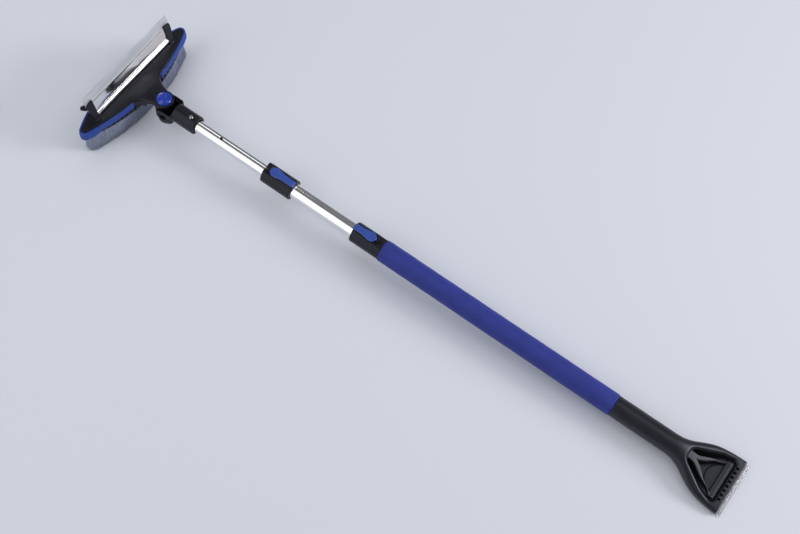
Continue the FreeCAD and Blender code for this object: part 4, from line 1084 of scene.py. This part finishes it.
def head_shape(x, y, z):
    """Lens-shaped deck with a neck to the pivot's boss and a rail that the squeegee stands on."""
    inset = BAND_THICK
    deck_plan = lens2(x, y, DECK_HALF_DEPTH - inset, DECK_HALF_LENGTH - inset, DECK_TIP_R - inset)
    neck_half = BOSS_R + (NECK_HALF_WIDTH - BOSS_R) * ease(-x, -PIVOT_X + 2, -PIVOT_X + 26)
    neck_plan = np.maximum(np.abs(y) - neck_half, np.maximum(HEAD_X - x, x - PIVOT_X))
    plan = join(deck_plan, neck_plan, HEAD_FILLET)
    shoulder = 1 - ease(np.abs(y), 12, 44)
    rise = (NECK_TOP - DECK_TOP) * shoulder * ease(x, HEAD_X + 10, PIVOT_X - 26)
    crown = 0.5 * (1 - ease(np.abs(x - HEAD_X), 0, 30)) - 0.0009 * y ** 2 * shoulder
    body = keep(keep(plan, z - (DECK_TOP + rise + crown), 4.2), BLOCK_TOP - z, 0.5)
    body = cut(body, np.maximum(PIVOT_X - CUP_TURNING_R - x, z - NECK_OVER_CUP), 0.5)
    rail = slab(x, y, z, HEAD_X - 6, HEAD_X + 8, -CHANNEL_HALF_LENGTH, CHANNEL_HALF_LENGTH, DECK_TOP - 3,
                SQUEEGEE_FOOT_Z - 1.0, 1.2, 0.8)
    body = join(body, rail, 1.6)
    body = join(body, bar_z(x, y, z, BOSS_R, PIVOT_X, 0, BOSS_BOTTOM, NECK_TOP, 1.2), 0.8)
    from_pivot = np.hypot(x - PIVOT_X, y)
    under = np.maximum(from_pivot - CUP_TURNING_R, z - NECK_OVER_CUP)
    body = cut(body, np.maximum(under, BOSS_R - from_pivot))
    body = cut(body, bar_z(x, y, z, BOSS_BORE, PIVOT_X, 0, BOSS_FLOOR_TOP, 40, 0.3), 0.5)
    body = cut(body, bar_z(x, y, z, BOLT_HOLE_R, PIVOT_X, 0, -30, 0, 0.1))
    screw_y = np.clip(np.round(y / CHANNEL_SCREW_Y[2]), -1, 1) * CHANNEL_SCREW_Y[2]
    for radius, top in ((2.0, 40), (4.0, BLOCK_TOP + 3)):
        body = cut(body, bar_z(x, y - screw_y, z, radius, CHANNEL_SCREW_X, 0, -10, top, 0.1))
    v, u = leaned(x, z)
    heel = np.maximum(np.maximum(-5 - v, v - 6), -u)
    return cut(body, np.maximum(heel, np.abs(y) - CHANNEL_HALF_LENGTH - 20), 0.3)


moulded("head_moulding", head_shape, (HEAD_X - DECK_HALF_DEPTH, -DECK_HALF_LENGTH, BOSS_BOTTOM),
        (PIVOT_X + BOSS_R, DECK_HALF_LENGTH, NECK_TOP + 1), 0.8, BLACK, "head",
        ["head_body"])


BLOCK_LENS = (BLOCK_HALF_DEPTH, DECK_HALF_LENGTH - 5, DECK_TIP_R - 4)  # as lens2 takes them


def band_shape(x, y, z):
    """Soft bumper round the deck, open at the neck, with a lip that hangs over the block's tips."""
    outer = lens2(x, y, DECK_HALF_DEPTH, DECK_HALF_LENGTH, DECK_TIP_R)
    inner = lens2(x, y, DECK_HALF_DEPTH - BAND_THICK, DECK_HALF_LENGTH - BAND_THICK, DECK_TIP_R - BAND_THICK)
    lift = BAND_TOP + 1.4 * ease(x, HEAD_X + 4, HEAD_X + 20)
    band = keep(keep(np.maximum(outer, -inner - 0.02), z - lift, 1.3), BLOCK_TOP - z, 0.8)
    gap = np.maximum(np.abs(y) - NECK_HALF_WIDTH - 15, HEAD_X - x)
    band = cut(band, gap, 1.5)
    growth = ease(np.abs(y), 92, 120)
    droop = BLOCK_TOP + 1.5 - 8.5 * growth
    lip = np.maximum(outer - growth, 0.15 - lens2(x, y, *BLOCK_LENS))
    lip = keep(keep(lip, z - 3.5 * growth, 1.5), droop - z, 1.5)
    return join(band, np.maximum(lip, 90 - np.abs(y)), 1.0)


moulded("bumper_band_lip", band_shape, (HEAD_X - DECK_HALF_DEPTH - 4, -DECK_HALF_LENGTH - 3, BLOCK_BOTTOM),
        (HEAD_X + DECK_HALF_DEPTH + 4, DECK_HALF_LENGTH + 3, BAND_TOP + 2), 0.7, BLUE_RUBBER,
        "head", ["bumper_band"])


BLOCK_SLOT_PITCH, BLOCK_SLOT_HALF = 9, 1.3


def block_shape(x, y, z):
    """Bristle block, slotted along its edge on the handle side, away from the middle."""
    plan = lens2(x, y, *BLOCK_LENS)
    body = thick(plan, z, BLOCK_BOTTOM, BLOCK_TOP, 1.0)
    places = np.abs(y) / BLOCK_SLOT_PITCH
    slot_y = (places - np.round(np.clip(places, 3, 11))) * BLOCK_SLOT_PITCH
    slots = np.maximum(np.abs(slot_y) - BLOCK_SLOT_HALF, -plan - 3.2)
    slots = np.maximum(slots, np.maximum(BLOCK_BOTTOM + 2 - z, HEAD_X - x))
    return cut(body, slots, 0.5)


moulded("bristle_block_slotted", block_shape, (HEAD_X - BLOCK_HALF_DEPTH, -DECK_HALF_LENGTH, BLOCK_BOTTOM),
        (HEAD_X + BLOCK_HALF_DEPTH, DECK_HALF_LENGTH, BLOCK_TOP), 0.9, BLACK, "head",
        ["bristle_block"])


# ---------------------------------------------------------------- bristles
BRISTLE_R, BRISTLE_SIDES = 0.24, 3
BRISTLE_ROOT = BLOCK_BOTTOM + 0.5
BRISTLE_LEVELS = [(0.0, 0.0, 1.0), (0.45, 0.30, 0.95), (0.8, 0.68, 0.8)]  # shares down, outwards and of size
STRANDS = 44000
BRISTLE_PIECES = 4
STRAY_SHARE = 0.015
BRISTLE_ROOT_LENS = (30.0, 124.0, 8.0)  # half depth, half length and tip radius
BRISTLE_TIP_LENS = (33.0, 128.0, 14.0)


def lens_half_depth(y, half_depth, half_length, tip_r):
    """Half depth of a lens at each y."""
    tip_y, big_r = lens_arc(half_depth, half_length, tip_r)
    arc = np.sqrt(np.maximum(big_r ** 2 - y ** 2, 0)) - (big_r - half_depth)
    past = np.abs(y) - tip_y
    tip = np.sqrt(np.maximum(tip_r ** 2 - past ** 2, 1.0))
    return np.where(past > 0, np.minimum(np.maximum(arc, 1.0), tip), np.maximum(arc, 1.0))


def gather(points, wavelength, phase):
    """Gentle sideways drift that draws neighbouring filaments together into locks."""
    a = 2 * math.pi / wavelength
    x, y = points[:, 0], points[:, 1]
    return np.stack([np.sin(a * x + 1.7 * np.sin(a * 0.61 * y + phase)),
                     np.sin(a * y + 1.9 * np.sin(a * 0.53 * x + 2 * phase))], 1)


def strand_faces():
    """Faces of one filament: rings of three, one over another, then a closed tip and a closed root."""
    sides = [(k, (k + 1) % BRISTLE_SIDES) for k in range(BRISTLE_SIDES)]
    last = BRISTLE_SIDES * (len(BRISTLE_LEVELS) - 1)
    faces = []
    for low in range(0, last, BRISTLE_SIDES):
        high = low + BRISTLE_SIDES
        faces.extend((low + k, high + k, high + m, low + m) for k, m in sides)
    faces.extend((last + k, last + BRISTLE_SIDES, last + m) for k, m in sides)
    return faces + [tuple(range(BRISTLE_SIDES))]


def make_bristles():
    """Filaments from the block to the floor: three-sided, tapered and splayed, with ragged tips."""
    rng = np.random.default_rng(7)
    depth, length, _ = BRISTLE_ROOT_LENS
    spots = rng.uniform((-depth, -length), (depth, length), (3 * STRANDS, 2)) + (HEAD_X, 0)
    root = spots[lens2(spots[:, 0], spots[:, 1], *BRISTLE_ROOT_LENS) < -0.6][:STRANDS]
    count = len(root)
    tip_y = root[:, 1] * BRISTLE_TIP_LENS[1] / BRISTLE_ROOT_LENS[1]
    widening = lens_half_depth(tip_y, *BRISTLE_TIP_LENS) / lens_half_depth(root[:, 1], *BRISTLE_ROOT_LENS)
    tip_x = HEAD_X + (root[:, 0] - HEAD_X) * np.clip(widening, 1.0, 1.7)
    locks = 0.55 * gather(root, 6.5, 0.4) + 0.5 * gather(root, 15.0, 1.3)
    tip = np.stack([tip_x, tip_y], 1) + locks + rng.normal(0, 0.55, (count, 2))
    height = BRISTLE_TIP + np.abs(rng.normal(0, 0.9, count)) + 0.5 * gather(root, 8.0, 2.1)[:, 0] + 0.5
    stray = rng.uniform(0, 1, count) < STRAY_SHARE
    tip[stray] += rng.normal(0, 1.6, (stray.sum(), 2))
    tone = np.clip(rng.normal(0.45, 0.2, count), 0, 1)
    floor = TOOL.inverted() @ Vector((0, 0, 0.0002))
    down = TOOL.inverted().to_3x3() @ Vector((0, 0, 1))
    height = np.maximum(height, floor.z - (tip[:, 0] - floor.x) * down.x / down.z)
    pattern = strand_faces()
    for part in range(BRISTLE_PIECES):
        own = np.arange(part, count, BRISTLE_PIECES)
        columns = []
        for down_share, out_share, size in BRISTLE_LEVELS:
            centre = root[own] + (tip[own] - root[own]) * out_share
            z = BRISTLE_ROOT + (height[own] - BRISTLE_ROOT) * down_share
            for c, s in circle(BRISTLE_SIDES):
                columns.append(np.stack([centre[:, 0] + BRISTLE_R * size * c,
                                         centre[:, 1] + BRISTLE_R * size * s, z], 1))
        columns.append(np.stack([tip[own, 0], tip[own, 1], height[own]], 1))
        points = np.stack(columns, 1).reshape(-1, 3)
        firsts = np.arange(len(own))[:, None] * len(columns)
        faces = [tuple(f) for corners in pattern for f in firsts + np.array(corners)]
        bristles = piece(f"bristles_{part + 1}", points, faces, FILAMENT, "head",
                         ["bristles"] if part == 0 else [])
        shades = bristles.data.attributes.new("tone", "FLOAT", "POINT")
        shades.data.foreach_set("value", np.repeat(tone[own], len(columns)).astype(np.float32))


make_bristles()


# ---------------------------------------------------------------- squeegee
def lean_points(profile, y):
    """Points of an upright (v, u) profile, leaned back on the rail at one y."""
    return [(SQUEEGEE_X + v * LEAN_COS - u * LEAN_SIN, y, SQUEEGEE_FOOT_Z + v * LEAN_SIN + u * LEAN_COS)
            for v, u in profile]


def along_head(name, profile, half_length, material, nodes, soft_end=0.25):
    """An upright profile run along the head, with slightly softened ends."""
    middle = (sum(p[0] for p in profile) / len(profile), sum(p[1] for p in profile) / len(profile))

    def shrunk(amount):
        """The profile with each point drawn in towards the middle."""
        result = []
        for v, u in profile:
            reach = math.dist((v, u), middle)
            k = 1 - amount / max(reach, amount)
            result.append((middle[0] + (v - middle[0]) * k, middle[1] + (u - middle[1]) * k))
        return result

    parts = 12
    stations = [(-half_length, soft_end), (-half_length + soft_end, 0.0)]
    stations += [(-half_length + 2 * half_length * i / parts, 0.0) for i in range(1, parts)]
    stations += [(half_length - soft_end, 0.0), (half_length, soft_end)]
    rows = [lean_points(shrunk(amount), y) for y, amount in stations]
    points, faces = strip_mesh(rows)
    item = piece(name, points, faces, material, "head", nodes, 35)
    weld(item, 0.000001)
    return item


CHANNEL_SHOWN_HALF = CHANNEL_HALF_LENGTH - 2.5


def make_channel():
    """Rolled bead at the foot and a tall polished face with a slot in its top, as one extrusion."""
    bead_r, bead_v, bead_u, bead_steps = 5.2, -0.6, 5.2, 56
    start, end = math.radians(62), math.radians(-242)
    turns = [start + (end - start) * i / bead_steps for i in range(bead_steps + 1)]
    bead = [(bead_v + bead_r * math.cos(a), bead_u + bead_r * math.sin(a)) for a in turns]
    half, floor, top = CHANNEL_SLOT_HALF, CHANNEL_SLOT_FLOOR, CHANNEL_HEIGHT
    back = [(-2.2, 11.6), (-2.2, top - 0.5), (-2.0, top - 0.1), (-1.6, top), (-half, top), (-half, floor)]
    lip = [(half, floor), (half, top), (1.6, top), (2.3, top - 0.3), (2.55, top - 1.0), (2.3, top - 1.8),
           (2.1, top - 2.4)]
    face_v, face_top, face_foot = 2.1, top - 2.4, 14.0
    drop = (face_top - face_foot) / 10
    face = [(face_v + 0.30 * math.sin(math.pi * t / 10), face_top - drop * t) for t in range(1, 10)]
    groove = [(face_v, face_foot), (1.9, 12.9), (1.4, 12.2), (1.1, 11.4), (1.5, 10.6)]
    channel = along_head("squeegee_channel_bright", bead + back + lip + face + groove, CHANNEL_SHOWN_HALF,
                         CHANNEL_METAL, ["squeegee_channel"])
    channel.data.materials.append(CHANNEL_FACE_PAINTED_REFLECTION)
    # The face's middle band of polygons takes the material with the painted warm reflection.
    low, high = (tool_point(SQUEEGEE_X, 0, SQUEEGEE_FOOT_Z + rise)[2] for rise in (12.4, 32))
    forwards = Vector(tool_direction(LEAN_COS, 0, LEAN_SIN))
    for polygon in channel.data.polygons:
        if low < polygon.center.z < high and polygon.normal.dot(forwards) > 0.9:
            polygon.material_index = 1
    return channel


CHANNEL = make_channel()


def make_squeegee_blade():
    """Rubber blade: held in the slot, with a thick root, thin lip and trimmed edge."""
    top, held = SQUEEGEE_HEIGHT, CHANNEL_HEIGHT
    half = [(1.0, CHANNEL_SLOT_FLOOR), (1.0, held + 1.0), (1.0, held + 6.0), (0.72, held + 7.2),
            (0.72, top - 4.0), (0.85, top - 3.0), (0.85, top - 0.7), (0.55, top)]
    outline = half + [(-v, u) for v, u in half[::-1]]
    along_head("squeegee_blade_rubber", outline, SQUEEGEE_HALF_LENGTH, CLEAR_RUBBER,
               ["squeegee_blade"])


make_squeegee_blade()


def clip_shape(side):
    """End clip that stands on the deck and holds channel and blade. The left one has a small rounded arm."""
    inner, outer = CHANNEL_SHOWN_HALF + 0.15, CHANNEL_HALF_LENGTH + CLIP_LENGTH

    def distance(x, y, z):
        v, u = leaned(x, z)
        w = side * y
        body = slab(v, w, u, -4.0, 4.6, inner, outer + 1.5, -8, CHANNEL_HEIGHT + 4, 1.0, 0.8)
        slant = w - outer - 0.16 * (u - 18)
        bevel = (u - CHANNEL_HEIGHT - 1.0) - 0.35 * (outer - w)
        body = keep(keep(body, slant, 1.0), bevel, 0.6)
        if side < 0:
            arm = slab(v, w, u, -8.5, 2.0, outer - 4, outer + 6.5, CHANNEL_HEIGHT - 8, CHANNEL_HEIGHT - 2.5,
                       2.4, 1.2)
            knob = np.sqrt((v + 6.0) ** 2 + (w - outer - 5.0) ** 2 + (u - CHANNEL_HEIGHT + 4.5) ** 2) - 4.0
            body = join(body, join(arm, knob, 1.5), 1.5)
        body = cut(body, np.maximum(np.abs(v) - 1.0, CHANNEL_SLOT_FLOOR - u), 0.2)
        foot = slab(x - SQUEEGEE_X, w, z, -7, 7, inner, outer + 1, DECK_TOP - 0.5, DECK_TOP + 3.2, 1.0, 0.6)
        return np.maximum(join(body, foot, 1.5), DECK_TOP - 0.2 - z)
    return distance


for side, name in ((-1, "left"), (1, "right")):
    y0, y1 = sorted((side * CHANNEL_SHOWN_HALF, side * (CHANNEL_HALF_LENGTH + CLIP_LENGTH + 10)))
    clip = "squeegee_clip_" + name
    moulded(clip + "_cap", clip_shape(side), (HEAD_X - 24, y0, DECK_TOP), (HEAD_X + 14, y1, 62), 0.5, BLACK,
            "head", [clip])


# ---------------------------------------------------------------- small steel parts
def make_button_spring():
    """Coil that lifts the button."""
    radius, wire, foot, turns = 4.6, 0.5, -0.4, 5
    rise = BUTTON_CEILING - foot - 2 * wire
    steps = turns * 36
    rows = []
    for i in range(steps + 1):
        angle = 2 * math.pi * turns * i / steps
        out = Vector((math.cos(angle), math.sin(angle), 0))
        centre = Vector((PIVOT_X, 0, foot + wire + rise * i / steps)) + out * radius
        rows.append([tuple(centre + out * wire * c + Vector((0, 0, wire * s))) for c, s in circle(10)])
    points, faces = strip_mesh(rows)
    coil = piece("button_spring_coil", points, faces, STEEL, "upper", ["button_spring"], 60)
    weld(coil)
    tool_point(PIVOT_X, 0, foot)
    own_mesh(coil)


def make_catch():
    """Bright spring tab that shows under the upper lever's narrow end, on the middle tube."""
    x0, x1, half = UPPER_COLLAR_GRIP_END - 4.0, UPPER_COLLAR_GRIP_END + 3.5, 3.2

    def distance(x, y, z):
        height = np.hypot(y, z)
        shell = np.abs(height - MIDDLE_R - 0.65) - 0.6
        return keep(keep(shell, span2(x, y, x0, x1, half, 1.4), 0.4), -z)

    moulded("upper_collar_catch", distance, (x0, -half, MIDDLE_R - 1), (x1, half, MIDDLE_R + 1.5), 0.2,
            CATCH_STEEL, "middle", [])


make_button_spring()
make_catch()


# ---------------------------------------------------------------- CAD nodes that stay
STAYING = {
    STEEL: ["blade_pins", "handle_screw", "lower_collar_rivet", "lower_lock_pin", "upper_collar_rivet",
            "upper_lock_pin", "pivot_sleeve", "pivot_washer", "lock_plate", "pivot_bolt", "pivot_nut",
            "channel_screws"],
    BLACK: ["middle_bushing", "upper_bushing", "lock_sleeve"],
}
for material, names in STAYING.items():
    for name in names:
        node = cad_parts[name]
        node.data.materials.clear()
        node.data.materials.append(material)


# ---------------------------------------------------------------- stage, light and camera
def make_floor():
    """Pale seamless paper."""
    size = 9.0
    mesh = bpy.data.meshes.new("floor")
    corners = [(-size, -size, 0), (size, -size, 0), (size, size, 0), (-size, size, 0)]
    mesh.from_pydata(corners, [], [(0, 1, 2, 3)])
    floor = bpy.data.objects.new("floor", mesh)
    bpy.context.scene.collection.objects.link(floor)
    paper = Look("pale_paper", (0.68, 0.71, 0.785), 0.85, Specular_IOR_Level=0.15)
    mesh.materials.append(paper.bump([(paper.noise(900), 0.05, 0.0001)]))


def area_light(name, size, radiance, at, target, colour=(1, 1, 1)):
    """Rectangular light of (size, size_y) that faces target. Its power gives its face that radiance."""
    data = bpy.data.lights.new(name, "AREA")
    data.shape = "RECTANGLE"
    data.size, data.size_y = size
    data.energy = radiance * math.pi * size[0] * size[1]
    data.color = colour
    light = bpy.data.objects.new(name, data)
    bpy.context.scene.collection.objects.link(light)
    light.location = at
    light.rotation_euler = (Vector(target) - Vector(at)).to_track_quat("-Z", "Y").to_euler()
    return light


CAMERA_AT = (0.4790, -0.8475, 2.0365)
CAMERA_HEADING, CAMERA_DIP, CAMERA_ROLL, CAMERA_LENS = 120.53, 64.0, 5.33, 61.4


def make_camera():
    """Looks down on the tool from beside the grip, with a slight roll."""
    data = bpy.data.cameras.new("camera")
    data.lens = CAMERA_LENS
    data.sensor_width = 36.0
    camera = bpy.data.objects.new("camera", data)
    bpy.context.scene.collection.objects.link(camera)
    turn = Matrix.Identity(4)
    for degrees, axis in ((CAMERA_HEADING - 90, "Z"), (90 - CAMERA_DIP, "X"), (CAMERA_ROLL, "Z")):
        turn = turn @ Matrix.Rotation(math.radians(degrees), 4, axis)
    camera.matrix_world = Matrix.Translation(CAMERA_AT) @ turn
    bpy.context.scene.camera = camera


def make_world():
    """Dim, slightly cool surroundings."""
    world = bpy.data.worlds.new("studio")
    world.use_nodes = True
    background = world.node_tree.nodes["Background"]
    background.inputs["Color"].default_value = (0.93, 0.94, 1.0, 1)
    background.inputs["Strength"].default_value = 0.20
    bpy.context.scene.world = world


make_floor()
make_world()
make_camera()
area_light("wall", (1.9, 5.0), 1.25, (-1.35, -2.3, 1.93), (-1.35, 0, 0))
area_light("key", (1.3, 1.3), 12.0, (2.6, 1.9, 1.7), (0.45, -0.1, 0), (1.0, 0.98, 0.97))
area_light("line", (0.6, 0.5), 1.6, (-1.25, 1.50, 1.98), (-0.33, 0, 0))
area_light("ceiling", (0.9, 1.3), 1.2, (0.80, 0.62, 2.4), (0.62, 0, 0))
fill = area_light("fill", (7.0, 7.0), 0.62, (-1.7, -0.2, 3.4), (-1.7, -0.2, 0))
fill.visible_glossy = False
strip = area_light("strip", (4.0, 4.0), 1.3, (-0.92, 0.42, 1.06), (-0.524, 0, 0))
only = bpy.data.collections.new("lit_by_strip")
only.objects.link(CHANNEL)
strip.light_linking.receiver_collection = only
bpy.context.scene.view_settings.view_transform = "Standard"
